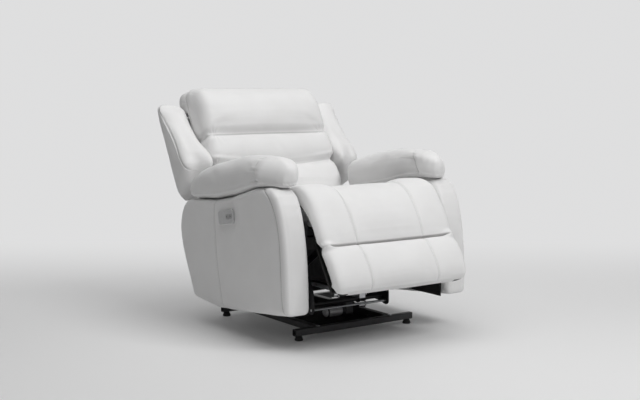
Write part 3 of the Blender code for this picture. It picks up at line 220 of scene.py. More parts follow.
def joined_copy(name, *nodes):
    """The CAD solids of one cover, copied into one mesh."""
    mesh = bmesh.new()
    for node in nodes:
        mesh.from_mesh(CAD[node].data)
    bmesh.ops.remove_doubles(mesh, verts=mesh.verts, dist=1e-5)
    return keep(name, mesh)


def settle(obj):
    """Turn the object's modifiers into its mesh."""
    bpy.context.view_layer.update()
    graph = bpy.context.evaluated_depsgraph_get()
    data = bpy.data.meshes.new_from_object(obj.evaluated_get(graph))
    old = obj.data
    obj.modifiers.clear()
    obj.data = data
    data.name = obj.name
    bpy.data.meshes.remove(old)


def even_mesh(obj, size, rounds):
    """Even small faces over the whole cover, with the corners eased."""
    grid = obj.modifiers.new("even", "REMESH")
    grid.mode = "VOXEL"
    grid.voxel_size = size
    ease = obj.modifiers.new("ease", "SMOOTH")
    ease.iterations = rounds
    ease.factor = 0.5
    settle(obj)


def finer(obj):
    split = obj.modifiers.new("finer", "SUBSURF")
    split.levels = split.render_levels = 1
    settle(obj)


def finer_near(obj, near):
    """Split the faces beside a seam so that it can be sharp."""
    mesh = opened(obj)
    mesh.verts.ensure_lookup_table()
    edges = [e for e in mesh.edges if near[e.verts[0].index] and near[e.verts[1].index]]
    bmesh.ops.subdivide_edges(mesh, edges=edges, cuts=1, use_grid_fill=True)
    bmesh.ops.triangulate(mesh, faces=[f for f in mesh.faces if len(f.verts) > 4])
    write_back(mesh, obj)


def evened(obj, values, held, rounds):
    """Average values with their neighbours' over a mesh to take out small wrinkles; held points keep theirs."""
    ends = read(obj.data.edges, "vertices", 2, np.int64)
    a, b = ends.reshape(-1, 2).T
    count = np.bincount(ends, minlength=len(values)).reshape(-1, 1)
    start = values.copy()
    for _ in range(rounds):
        total = np.stack([np.bincount(a, values[b, k], len(values)) + np.bincount(b, values[a, k], len(values))
                          for k in range(3)], axis=1)
        values = 0.5 * values + 0.5 * total / np.maximum(count, 1)
        values[held] = start[held]
    return values


def stuff(obj, held, pressure, slack, cap, frames=20):
    """Blow the cover up as cloth, with the sewn and resting points held, and limit how far it goes."""
    before = coords(obj)
    group = obj.vertex_groups.new(name="held")
    group.add([int(i) for i in np.nonzero(held)[0]], 1.0, "REPLACE")
    cloth = obj.modifiers.new("stuffing", "CLOTH")
    settings = cloth.settings
    settings.quality = 4
    settings.mass = 0.3
    settings.tension_stiffness = settings.compression_stiffness = 15.0
    settings.shear_stiffness = 5.0
    settings.bending_stiffness = 4.0
    settings.use_pressure = True
    settings.uniform_pressure_force = pressure
    settings.shrink_min = -slack
    settings.vertex_group_mass = "held"
    settings.effector_weights.gravity = 0.0
    cloth.collision_settings.use_collision = False
    cloth.point_cache.frame_start = 1
    cloth.point_cache.frame_end = frames
    scene = bpy.context.scene
    for number in range(1, frames + 1):
        scene.frame_set(number)
    settle(obj)
    scene.frame_set(1)
    obj.vertex_groups.clear()
    move = coords(obj) - before
    size = np.linalg.norm(move, axis=1, keepdims=True)
    move *= np.minimum(1.0, cap / np.maximum(size, 1e-9))
    put(obj, before + evened(obj, move, held, rounds=24))


def press_in(obj, amount):
    """Move each point in along its normal by its own amount."""
    put(obj, coords(obj) - normals(obj) * np.asarray(amount).reshape(-1, 1))


def shade_seams(obj, amount):
    """Painted shade where the hide turns down into a seam or crease, for the leather's colour to darken there."""
    layer = obj.data.attributes.get("seam") or obj.data.attributes.new("seam", "FLOAT", "POINT")
    layer.data.foreach_set("value", np.clip(amount, 0, 1).astype(np.float32))


def mirrored(obj, name):
    """The same piece for the right side."""
    mesh = opened(obj)
    for vert in mesh.verts:
        vert.co.x = -vert.co.x
    bmesh.ops.reverse_faces(mesh, faces=mesh.faces)
    return keep(name, mesh)


def coat(obj, material):
    """One material over the whole piece, shaded smooth."""
    obj.data.materials.clear()
    obj.data.materials.append(material)
    obj.data.polygons.foreach_set("use_smooth", [True] * len(obj.data.polygons))
    obj.data.update()


def dress(obj, material, body, replaced=()):
    """Give a finished piece its material and its body, and hide the CAD parts it takes the place of."""
    coat(obj, material)
    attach(obj, body)
    if replaced:
        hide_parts(*replaced)


def dress_pair(obj, twin_name, shade, node, body):
    """Finish the left piece and its mirrored twin alike."""
    twin = mirrored(obj, twin_name)
    for piece, side in ((obj, "left"), (twin, "right")):
        # shade is painted shade along the seams, on both pieces
        shade_seams(piece, shade)
        dress(piece, LEATHER, body, (f"{node}_{side}",))


def line_with_cloth(obj, hidden):
    """Black cloth instead of hide on the faces that never show."""
    obj.data.materials.append(LINING)
    corners = read(obj.data.loops, "vertex_index")
    first = corners[read(obj.data.polygons, "loop_start")]
    obj.data.polygons.foreach_set("material_index", hidden[first].astype(np.int32))
    obj.data.update()


def spread(a, b, count):
    """Even steps from a to b."""
    return [a + (b - a) * i / (count - 1) for i in range(count)]


def curve_through(points, count):
    """Even points on a smooth line through a few places in a plane."""
    points = np.array(points)
    run = np.concatenate([[0], np.cumsum(np.linalg.norm(np.diff(points, axis=0), axis=1))])
    steps = np.linspace(0, run[-1], count)
    fits = [np.polyfit(run, points[:, k], min(3, len(points) - 1)) for k in range(2)]
    return np.stack([np.polyval(f, steps) for f in fits], axis=1)


def line_distance(points, line):
    """Distance in a plane from many points to a polyline."""
    best = np.full(len(points), 1e9)
    for a, b in zip(line, line[1:]):
        way = b - a
        t = np.clip(((points - a) @ way) / (way @ way), 0, 1)
        best = np.minimum(best, np.linalg.norm(points - a - t[:, None] * way, axis=1))
    return best


# Finishes

def new_finish(name, color, roughness, metallic=0.0):
    material = bpy.data.materials.new(name)
    material.use_nodes = True
    shader = material.node_tree.nodes["Principled BSDF"]
    shader.inputs["Base Color"].default_value = (*color, 1.0)
    shader.inputs["Roughness"].default_value = roughness
    shader.inputs["Metallic"].default_value = metallic
    return material, material.node_tree, shader


def add_node(tree, kind, **values):
    """A node with some of its inputs or settings given by name; a short kind is a shader node's."""
    node = tree.nodes.new(kind if "Node" in kind else "ShaderNode" + kind)
    for key, value in values.items():
        if key in node.inputs:
            node.inputs[key].default_value = value
        else:
            setattr(node, key, value)
    return node


def wire(tree, *joins):
    """Link nodes, each join given as a node, its output, another node and its input."""
    for source, output, target, socket in joins:
        tree.links.new(source.outputs[output], target.inputs[socket])


def object_noise(tree, scale, detail=3.0, stretch=None):
    """Noise on Object coordinates, stretched along an axis where the finish has a direction."""
    place, output = add_node(tree, "TexCoord"), "Object"
    if stretch:
        turn = add_node(tree, "Mapping", Scale=stretch)
        wire(tree, (place, output, turn, "Vector"))
        place, output = turn, "Vector"
    noise = add_node(tree, "TexNoise", Scale=scale, Detail=detail)
    wire(tree, (place, output, noise, "Vector"))
    return noise.outputs["Fac"]


def vary(tree, source, socket, low, high, start=0.3, stop=0.7):
    """Drive a number on the shader from a texture."""
    limits = {"From Min": start, "From Max": stop, "To Min": low, "To Max": high}
    ranged = add_node(tree, "MapRange", **limits)
    tree.links.new(source, ranged.inputs["Value"])
    tree.links.new(ranged.outputs["Result"], socket)
    return ranged


def tint(tree, source, shader, dark, light, start=0.3, stop=0.7):
    """Colour that drifts between two tones."""
    ramp = add_node(tree, "ValToRGB")
    for stop_point, place, tone in zip(ramp.color_ramp.elements, (start, stop), (dark, light)):
        stop_point.position = place
        stop_point.color = (*tone, 1.0)
    tree.links.new(source, ramp.inputs["Fac"])
    wire(tree, (ramp, "Color", shader, "Base Color"))
    return ramp


def bump(tree, source, shader, strength, distance):
    rise = add_node(tree, "Bump", Strength=strength, Distance=distance)
    tree.links.new(source, rise.inputs["Height"])
    wire(tree, (rise, "Normal", shader, "Normal"))


def pale_leather():
    """Off-white coated hide: fine pebble, pores, a slow drift of tone, and painted shade that darkens it where it
    turns into a seam or crease.
    """
    material, tree, shader = new_finish("pale_leather", (0.80, 0.797, 0.795), 0.5)
    shader.inputs["Specular IOR Level"].default_value = 0.36
    mottle = object_noise(tree, scale=9.0)
    ramp = tint(tree, mottle, shader, dark=(0.785, 0.781, 0.779), light=(0.81, 0.808, 0.806))
    # Painted shade: the seam attribute mixes the colour towards dark grey in seams and creases
    painted_seam_shade = add_node(tree, "Attribute", attribute_name="seam", attribute_type="GEOMETRY")
    painted_shade_mix = add_node(tree, "Mix", data_type="RGBA", blend_type="MIX")
    painted_shade_mix.inputs["B"].default_value = (0.36, 0.352, 0.35, 1.0)
    fade = add_node(tree, "Math", operation="MULTIPLY")
    fade.inputs[1].default_value = 0.8
    polish = object_noise(tree, scale=34.0, detail=4.0)
    vary(tree, polish, shader.inputs["Roughness"], low=0.46, high=0.56)
    pores = object_noise(tree, scale=1150.0, detail=2.0)
    place = add_node(tree, "TexCoord")
    pebble = add_node(tree, "TexVoronoi", feature="SMOOTH_F1", Scale=430.0, Smoothness=0.7)
    grain = add_node(tree, "Math", operation="SUBTRACT")
    tree.links.new(pores, grain.inputs[0])
    wire(tree, (painted_seam_shade, "Fac", fade, 0), (fade, "Value", painted_shade_mix, "Factor"), (ramp, "Color", painted_shade_mix, "A"),
         (painted_shade_mix, "Result", shader, "Base Color"), (place, "Object", pebble, "Vector"),
         (pebble, "Distance", grain, 1))
    bump(tree, grain.outputs["Value"], shader, strength=0.16, distance=0.0006)
    return material


def black_lining():
    """Black woven dust cloth."""
    material, tree, shader = new_finish("black_lining", (0.012, 0.012, 0.013), 0.9)
    place = add_node(tree, "TexCoord")
    both = add_node(tree, "Math", operation="MULTIPLY")
    for number, way in enumerate("ZY"):
        threads = add_node(tree, "TexWave", bands_direction=way, Scale=260.0, Distortion=0.6)
        wire(tree, (place, "Object", threads, "Vector"), (threads, "Fac", both, number))
    weave = both.outputs["Value"]
    tint(tree, weave, shader, dark=(0.009, 0.009, 0.01), light=(0.02, 0.02, 0.021), start=0.1, stop=0.9)
    bump(tree, weave, shader, strength=0.35, distance=0.0006)
    return material


def painted_steel(name, dark, light, roughness):
    """Powder coat: fine orange peel and slightly rubbed tone."""
    material, tree, shader = new_finish(name, light, roughness, metallic=0.35)
    drift = object_noise(tree, scale=14.0, detail=5.0)
    tint(tree, drift, shader, dark, light)
    vary(tree, drift, shader.inputs["Roughness"], roughness - 0.07, roughness + 0.08)
    peel = object_noise(tree, scale=900.0, detail=2.0)
    bump(tree, peel, shader, strength=0.12, distance=0.0004)
    return material


def plated_steel(name, tone, stretch):
    """Zinc plate or bare wire with drawn lines along its length."""
    material, tree, shader = new_finish(name, tone, 0.34, metallic=1.0)
    lines = object_noise(tree, 500.0, stretch=stretch)
    tint(tree, lines, shader, dark=tuple(v * 0.8 for v in tone), light=tone)
    vary(tree, lines, shader.inputs["Roughness"], low=0.26, high=0.44)
    bump(tree, lines, shader, strength=0.1, distance=0.0003)
    return material


def black_plywood():
    """Stained plywood with a long grain."""
    material, tree, shader = new_finish("black_plywood", (0.02, 0.019, 0.019), 0.7)
    grain = object_noise(tree, scale=90.0, detail=6.0, stretch=(0.12, 1.0, 1.0))
    tint(tree, grain, shader, dark=(0.010, 0.010, 0.010), light=(0.030, 0.028, 0.027))
    vary(tree, grain, shader.inputs["Roughness"], low=0.6, high=0.82)
    bump(tree, grain, shader, strength=0.25, distance=0.0008)
    return material


def moulded_plastic(name, tone, roughness):
    """Plastic with a fine spark texture from its mould."""
    material, tree, shader = new_finish(name, tone, roughness)
    spark = object_noise(tree, scale=1500.0, detail=2.0)
    drift = object_noise(tree, scale=30.0)
    tint(tree, drift, shader, dark=tuple(v * 0.92 for v in tone), light=tone)
    vary(tree, spark, shader.inputs["Roughness"], roughness - 0.05, roughness + 0.06)
    bump(tree, spark, shader, strength=0.1, distance=0.0003)
    return material


def moulded_rubber():
    material, tree, shader = new_finish("glide_rubber", (0.02, 0.02, 0.02), 0.8)
    drift = object_noise(tree, scale=220.0, detail=4.0)
    tint(tree, drift, shader, dark=(0.013, 0.013, 0.013), light=(0.03, 0.03, 0.03))
    bump(tree, drift, shader, strength=0.2, distance=0.0006)
    return material


LEATHER = pale_leather()
LINING = black_lining()
THREAD = moulded_plastic("sewing_thread", (0.52, 0.515, 0.51), 0.6)
STEEL = painted_steel("black_steel", (0.012, 0.012, 0.013), (0.028, 0.028, 0.03), 0.42)
RAIL_STEEL = painted_steel("rail_steel", (0.045, 0.045, 0.047), (0.066, 0.066, 0.069), 0.42)
ZINC = plated_steel("zinc_plate", (0.6, 0.61, 0.63), (0.08, 1.0, 1.0))
SPRING = plated_steel("oiled_spring_wire", (0.16, 0.16, 0.17), (1.0, 1.0, 0.3))
PLYWOOD = black_plywood()
GREY_PLASTIC = moulded_plastic("grey_plastic", (0.60, 0.60, 0.605), 0.4)
BUTTON_PLASTIC = moulded_plastic("button_plastic", (0.40, 0.40, 0.405), 0.42)
BLACK_PLASTIC = moulded_plastic("black_plastic", (0.018, 0.018, 0.02), 0.45)
MOTOR_SHELL = painted_steel("motor_shell", (0.5, 0.5, 0.51), (0.6, 0.6, 0.61), 0.38)
RUBBER = moulded_rubber()

# Sizes and materials of the pieces that repeat
STITCH = {"Pitch": 0.0068, "Half length": 0.0026, "Half width": 0.0005, "Thread": THREAD}
STAPLE = {"Pitch": 0.032, "Half length": 0.0055, "Half width": 0.0005, "Thread": ZINC}
RIVET = {"Head radius": 0.0085, "Head height": 0.0017, "Steel": ZINC}
BOLT = {"Across corners": 0.0062, "Head height": 0.0052, "Steel": ZINC}

# What the rows of stitches follow, by body
SEWN = {"chassis": [], "back": [], "ottoman": []}


def sew(obj, body, rays, both=False):
    """Lay stitches on a cover where rays, each a start and a way, meet it; both adds the row on the other side."""
    mesh = opened(obj)
    tree = BVHTree.FromBMesh(mesh)
    mesh.free()
    hits = [tree.ray_cast(Vector(start), Vector(way))[0] for start, way in rays]
    row = [hit for hit in hits if hit is not None]
    SEWN[body].append(row)
    if both:
        SEWN[body].append([Vector((-p.x, p.y, p.z)) for p in row])


# Soft pieces

def wing_crease(along):
    """How far forward the crease between the back cushion and a wing is, along the back."""
    return 0.086 - (along - 0.227) * 0.44


def back_cushion():
    """Head, middle and lumbar under one cover: the head rolls under to a sharp seam, the lumbar seam sags."""
    obj = joined_copy("back_cushion", "back_pad_head", "back_pad_mid", "back_pad_lumbar")
    even_mesh(obj, size=0.006, rounds=5)
    points = coords(obj)
    along, forward = back_places(points)
    across = np.abs(points[:, 0])
    # The sides fall away to the wings, and the upper corners are rounded
    edge = np.minimum(wing_crease(along), 0.046)
    drop = np.maximum(forward - edge, 0.0)
    reach = 0.030 + 0.22 * np.maximum(0.065 - edge, 0.0)
    turn = np.clip((across - BACK_HALF + reach) / reach, 0.0, 1.0)
    fall = 0.62 * drop * (1 - np.sqrt(np.maximum(1 - turn ** 2, 0.0)))
    shoulder = (0.006 * smooth(across, 0.22, BACK_HALF) ** 2 * smooth(along, 0.50, 0.64)
                * smooth(forward, -0.09, -0.02))
    put(obj, points - fall[:, None] * OUT_BACK - shoulder[:, None] * UP_BACK)
    even_mesh(obj, size=0.006, rounds=4)

    def places():
        points = coords(obj)
        along, forward = back_places(points)
        ends = np.abs(points[:, 0]) / BACK_HALF
        low = along - LUMBAR_SEAM - LUMBAR_LIFT * ends ** 2
        return points, along, forward, ends, along - HEAD_SEAM, low

    # The lumbar seam's sag, and fullness above and below the seams
    points, along, forward, ends, head, low = places()
    front = smooth(forward, -0.03, 0.0)
    lift = LUMBAR_LIFT * ends ** 2 * np.exp(-((along - LUMBAR_SEAM) / 0.06) ** 2)
    flush = np.where(head < 0, np.exp(-(head / 0.035) ** 2), np.exp(-(head / 0.005) ** 2))
    full = smooth(head, 0.004, 0.03) - smooth(head, 0.12, 0.2)
    rise = 0.013 * flush + 0.008 * full + 0.008 * hill(low, 0.03)
    put(obj, points + (front * lift)[:, None] * UP_BACK + (front * rise)[:, None] * OUT_BACK)
    press_in(obj, 0.004 * front)

    points, along, forward, ends, head, low = places()
    sewn = (forward > -0.01) & (((np.abs(head) < 0.005) & (ends < 0.9)) | (np.abs(low) < 0.004))
    stuff(obj, sewn | (forward < PAD_BACK + 0.015), pressure=5.0, slack=0.004, cap=0.022)
    finer(obj)

    # The head section rolls under, and the seams draw in
    points, along, forward, ends, head, low = places()
    front = smooth(forward, -0.03, -0.005)
    middle = 1 - smooth(ends, 0.80, 0.94)
    roll = 0.006 * front * middle * smooth(head, -0.004, 0.005) * np.exp(-(head / 0.022) ** 2)
    put(obj, points - roll[:, None] * UP_BACK)
    groove = (0.0015 + 0.010 * middle) * hill(head + 0.003, 0.008) + 0.003 * hill(low, 0.011)
    press_in(obj, front * groove)

    # Boxing seam, full upper corners, gathers at the ends of the seams
    points, along, forward, ends, head, low = places()
    across = np.abs(points[:, 0])
    boxing = np.maximum(smooth(across, 0.305, 0.325), smooth(along, 0.61, 0.635)) * smooth(along, 0.41, 0.44)
    ear = smooth(across, 0.29, 0.325) * smooth(along, 0.575, 0.61) * hill(forward + 0.088, 0.04)
    folds = puckers(across - 0.285, head, count=9, reach=0.022)
    folds += 0.7 * puckers(across - 0.30, low, count=7, reach=0.02)
    change = 0.0035 * boxing * hill(forward - BOXING_SEAM, 0.007) - 0.009 * ear
    change -= 0.0011 * ripple(points, length=0.17, seed=3) + 0.0022 * front * folds
    press_in(obj, change)
    # Painted shade in the head and lumbar seams and along the boxing seam
    seams = front * hill(head + 0.003, 0.0055) * (0.3 + 0.7 * middle) + 0.35 * front * hill(low, 0.0045)
    shade_seams(obj, np.maximum(seams, 0.6 * boxing * hill(forward - BOXING_SEAM, 0.003)))
    dress(obj, LEATHER, "back", ("back_pad_head", "back_pad_mid", "back_pad_lumbar"))


def wing_front(along):
    """How far forward a wing's front is, along the back."""
    return 0.045 - (along - 0.235) * 0.265


def wings():
    """Padded wings: a broad soft front, a seam down the outer edge, and a side that draws in behind it."""
    obj = joined_copy("wing_left", "back_wing_left")
    even_mesh(obj, size=0.005, rounds=4)

    def places():
        points = coords(obj)
        along, forward = back_places(points)
        return points, along, forward, forward - wing_front(along) + WING_SEAM

    points, along, forward, seam = places()
    outer = smooth(-points[:, 0], 0.40, 0.465)
    inner = 1 - smooth(-points[:, 0], 0.334, 0.43)
    behind = smooth(-forward, 0.045, 0.14)
    points[:, 0] += 0.045 * outer * behind ** 1.5
    lift = wing_crease(along) + 0.004 - wing_front(along)
    put(obj, points + (lift * inner * smooth(seam, -0.06, 0.0))[:, None] * OUT_BACK)
    press_in(obj, 0.003 * smooth(forward, PANEL_SKIN + 0.01, PANEL_SKIN + 0.05))
    points, along, forward, seam = places()
    stuff(obj, forward < PANEL_SKIN + 0.008, pressure=4.0, slack=0.004, cap=0.010)
    finer(obj)
    points, along, forward, seam = places()
    outer = smooth(-points[:, 0], 0.43, 0.45)
    press_in(obj, 0.0025 * hill(seam, 0.006) * outer - 0.0010 * ripple(points, length=0.13, seed=8))
    # Painted shade along the outer seam
    shade = 0.6 * hill(seam, 0.0032) * outer
    behind = WING_SEAM + STITCH_OFF
    rays = [(back_point(OUTSIDE_X, a, wing_front(a) - behind), (1, 0, 0)) for a in spread(0.20, 0.575, 90)]
    sew(obj, "back", rays, both=True)
    dress_pair(obj, "wing_right", shade, "back_wing", "back")


def back_panel():
    """Outer back: a thin padded panel with two upright seams and a hem."""
    obj = joined_copy("outer_back", "back_panel")
    even_mesh(obj, size=0.005, rounds=4)

    def places():
        points = coords(obj)
        along, forward = back_places(points)
        rear = smooth(-forward, -PANEL_SKIN - 0.02, -PANEL_SKIN - 0.006)
        upright = np.abs(np.abs(points[:, 0]) - PANEL_SEAM_X)
        return points, rear, np.minimum(upright, np.abs(along - PANEL_HEM))

    points, rear, seam = places()
    finer_near(obj, (seam < 0.014) & (rear > 0.2))
    points, rear, seam = places()
    press_in(obj, rear * 0.004 * hill(seam, 0.009) - 0.001 * ripple(points, length=0.2, seed=12))
    # Painted shade along the upright seams and the hem
    shade_seams(obj, rear * 0.6 * hill(seam, 0.0035))
    way = back_point(0, 0, 1) - back_point(0, 0, 0)
    for side in SIDES.values():
        x = side * (PANEL_SEAM_X + STITCH_OFF)
        sew(obj, "back", [(back_point(x, a, BEHIND_BACK), way) for a in spread(0.04, 0.52, 100)])
    hem = PANEL_HEM - STITCH_OFF
    sew(obj, "back", [(back_point(x, hem, BEHIND_BACK), way) for x in spread(-0.31, 0.31, 120)])
    dress(obj, LEATHER, "back", ("back_panel",))


def depth_under(level, along, core):
    """How far each point lies under the highest point of the core at the same place along it."""
    steps = np.linspace(along[core].min(), along[core].max(), 70)
    place = np.clip(np.digitize(along, steps), 1, 69)
    tops = np.array([level[core & (place == k)].max(initial=-9.0) for k in range(1, 70)])
    middles = (steps[:-1] + steps[1:]) / 2
    known = tops > -9.0
    return np.maximum(np.interp(along, middles[known], tops[known]) - level, 0.0)


def legrest():
    """Two tiers under one cover: a crease that fades at its ends, two upright seams, and fuller side sections."""
    down = np.array((-math.sin(LOWER_TILT), -math.cos(LOWER_TILT)))
    out = np.array((0.0, -math.cos(LOWER_TILT), math.sin(LOWER_TILT)))
    obj = joined_copy("legrest_cushion", "legrest_pad_upper", "legrest_pad_lower")
    # A wad at each end of the crease fills the gap between the tiers
    mesh = opened(obj)
    for side in SIDES.values():
        wad = bmesh.ops.create_uvsphere(mesh, u_segments=24, v_segments=12, radius=1.0)["verts"]
        for vert in wad:
            vert.co = Vector((side * 0.282 + 0.046 * vert.co.x, CREASE[0] - 0.030 * out[1] + 0.027 * vert.co.y,
                              CREASE[1] - 0.030 * out[2] + 0.027 * vert.co.z))
    write_back(mesh, obj)
    even_mesh(obj, size=0.0062, rounds=4)
    points = coords(obj)
    across = np.abs(points[:, 0])
    spokes = points[:, 1:] - LEGREST_HEART
    radius, turn = np.hypot(spokes[:, 0], spokes[:, 1]), np.arctan2(spokes[:, 1], -spokes[:, 0])
    fall, level = (points[:, 1:] - CREASE) @ down, (points[:, 1:] - CREASE) @ out[1:]
    # The ends fall off less than those of the solids
    core = across < 0.25
    above = depth_under(radius, turn, core & (fall < 0.0))
    below = depth_under(level, fall, core & (fall > -0.01))
    lower = smooth(fall, -0.012, 0.012)
    thin = smooth(across, 0.272, 0.322)
    spokes /= np.maximum(radius, 1e-6)[:, None]
    for depth, way, share in ((above, spokes, 1 - lower), (below, out[1:], lower)):
        points[:, 1:] += (0.72 * np.maximum(depth - 0.030, 0.0) * thin * share)[:, None] * way
    put(obj, points)
    even_mesh(obj, size=0.0062, rounds=3)

    def outward(face):
        return -0.8 * face[:, 1] + 0.6 * face[:, 2]

    def places():
        points = coords(obj)
        fall = (points[:, 1:] - CREASE) @ down
        front = smooth(outward(normals(obj)), 0.05, 0.45)
        near = smooth(-points[:, 1], 0.44, 0.48)
        ends = smooth(np.abs(points[:, 0]), 0.265, 0.312)
        return points, fall, np.abs(np.abs(points[:, 0]) - PAD_SEAM_X), front, near, ends

    points, fall, seam, front, near, ends = places()
    side = smooth(np.abs(points[:, 0]), 0.14, 0.225)
    points[:, 2] += 0.014 * side * smooth(points[:, 2], 0.53, 0.60)
    put(obj, points + (0.016 * ends * hill(fall, 0.026) * near)[:, None] * out)
    press_in(obj, 0.003 * front)
    points, fall, seam, front, near, ends = places()
    crease = (np.abs(fall) < 0.006) & (near > 0.5) & (ends < 0.7)
    sewn = crease | ((seam < 0.004) & (front > 0.3))
    stuff(obj, sewn | (front < 0.02), pressure=5.0, slack=0.004, cap=0.016)
    finer(obj)
    points, fall, seam, front, near, ends = places()
    # The crease draws in, and the upper tier laps over it
    facing = np.maximum(front, near * hill(fall, 0.03))
    press_in(obj, near * facing * (0.002 + 0.012 * (1 - ends)) * hill(fall, 0.009))
    points, fall, seam, front, near, ends = places()
    lap = 0.007 * near * (1 - ends) * smooth(-fall, -0.004, 0.006) * np.exp(-(fall / 0.022) ** 2)
    points[:, 1:] += lap[:, None] * down
    put(obj, points)
    points, fall, seam, front, near, ends = places()
    press_in(obj, 0.003 * front * hill(seam, 0.007) - 0.0011 * ripple(points, length=0.19, seed=21))
    points, fall, seam, front, near, ends = places()
    # Painted shade in the upright seams, and a painted shadow in the crease between the tiers
    shade_seams(obj, np.maximum(front * 0.5 * hill(seam, 0.0032),
                                near * hill(fall, 0.0062) * (0.3 + 0.7 * (1 - ends))))
    inward = (0, -out[1], -out[2])
    for side in SIDES.values():
        x = side * (PAD_SEAM_X + STITCH_OFF)
        low = [((x, CREASE[0] + down[0] * a + 0.3 * out[1], CREASE[1] + down[1] * a + 0.3 * out[2]), inward)
               for a in spread(0.014, 0.175, 40)]
        sew(obj, "ottoman", low)
        fan = []
        for turn in spread(math.radians(176), math.radians(82), 60):
            way = (math.cos(turn), math.sin(turn))
            fan.append(((x, -0.372 + 0.5 * way[0], 0.43 + 0.5 * way[1]), (0, -way[0], -way[1])))
        sew(obj, "ottoman", fan)
    dress(obj, LEATHER, "ottoman", ("legrest_pad_upper", "legrest_pad_lower"))
    # Cloth takes over underneath and where the ends tuck in behind the crease
    points, fall, seam, front, near, ends = places()
    face = evened(obj, normals(obj), np.zeros(len(points), bool), rounds=16)
    level = (points[:, 1:] - CREASE) @ out[1:]
    tucked = (ends > 0.0) & (level < -0.036) & ((np.abs(fall) < 0.040) | ((fall > 0.0) & (front < 0.02)))
    line_with_cloth(obj, tucked | (outward(face) < -0.40))


def seat():
    """Seat cushion: full in front, settled behind, with a seam along each side of its top panel."""
    obj = joined_copy("seat_cushion_cover", "seat_cushion")
    even_mesh(obj, size=0.006, rounds=4)
    press_in(obj, 0.003 * smooth(normals(obj)[:, 2], -0.2, 0.3))
    stuff(obj, normals(obj)[:, 2] < -0.4, pressure=4.0, slack=0.01, cap=0.010)
    finer(obj)
    points = coords(obj)
    top = smooth(points[:, 2], 0.45, 0.49)
    seam = np.abs(np.abs(points[:, 0]) - SEAT_SEAM_X)
    press_in(obj, 0.004 * top * hill(seam, 0.009) - 0.0012 * ripple(points, length=0.18, seed=31))
    # Painted shade along the seams
    shade_seams(obj, 0.5 * top * hill(seam, 0.0035))
    for x in (-0.255, 0.255):
        sew(obj, "chassis", [((x, y, 1.0), (0, 0, -1)) for y in spread(-0.16, 0.15, 60)])
    dress(obj, LEATHER, "chassis", ("seat_cushion",))
    line_with_cloth(obj, coords(obj)[:, 2] < 0.466)


def arms():
    """Upholstered arms: a wrapped front panel, a plain side and one upright seam on it."""
    obj = joined_copy("arm_cover_left", "arm_left")
    even_mesh(obj, size=0.005, rounds=5)
    front_line = curve_through([(-0.4171, 0.138), (-0.3981, 0.304), (-0.3783, 0.4466), (-0.3497, 0.5427),
                                (-0.3085, 0.6017), (-0.262, 0.616)], 40)
    side_line = curve_through([(0.103, 0.541), (0.094, 0.38), (0.041, 0.106)], 30)
    for line in (front_line, side_line):
        line[:, 0] += SHIFT_Y

    def places():
        points = coords(obj)
        outer = smooth(-points[:, 0], 0.432, 0.448)
        front = line_distance(points[:, 1:], front_line)
        side = line_distance(points[:, 1:], side_line)
        return points, outer, np.minimum(front, side)

    for reach in (0.016, 0.006):
        points, outer, seam = places()
        finer_near(obj, (seam < reach) & (-points[:, 0] > 0.42))
    points, outer, seam = places()
    plate = smooth(np.hypot(points[:, 1] - CONTROL_SPOT[0], points[:, 2] - CONTROL_SPOT[1]), 0.07, 0.11)
    swell = 0.004 * outer * plate * smooth(seam, 0.0, 0.06)
    uneven = 0.0011 * plate * ripple(points, length=0.22, seed=41)
    press_in(obj, outer * 0.003 * hill(seam, 0.006) - swell - uneven)
    # Painted shade along the seams on the outer side
    shade = outer * 0.75 * hill(seam, 0.003)
    for line, shift in ((front_line, -STITCH_OFF), (side_line, STITCH_OFF)):
        sew(obj, "chassis", [((OUTSIDE_X, y + shift, z), (1, 0, 0)) for y, z in line[1:-1]], both=True)
    dress_pair(obj, "arm_cover_right", shade, "arm", "chassis")


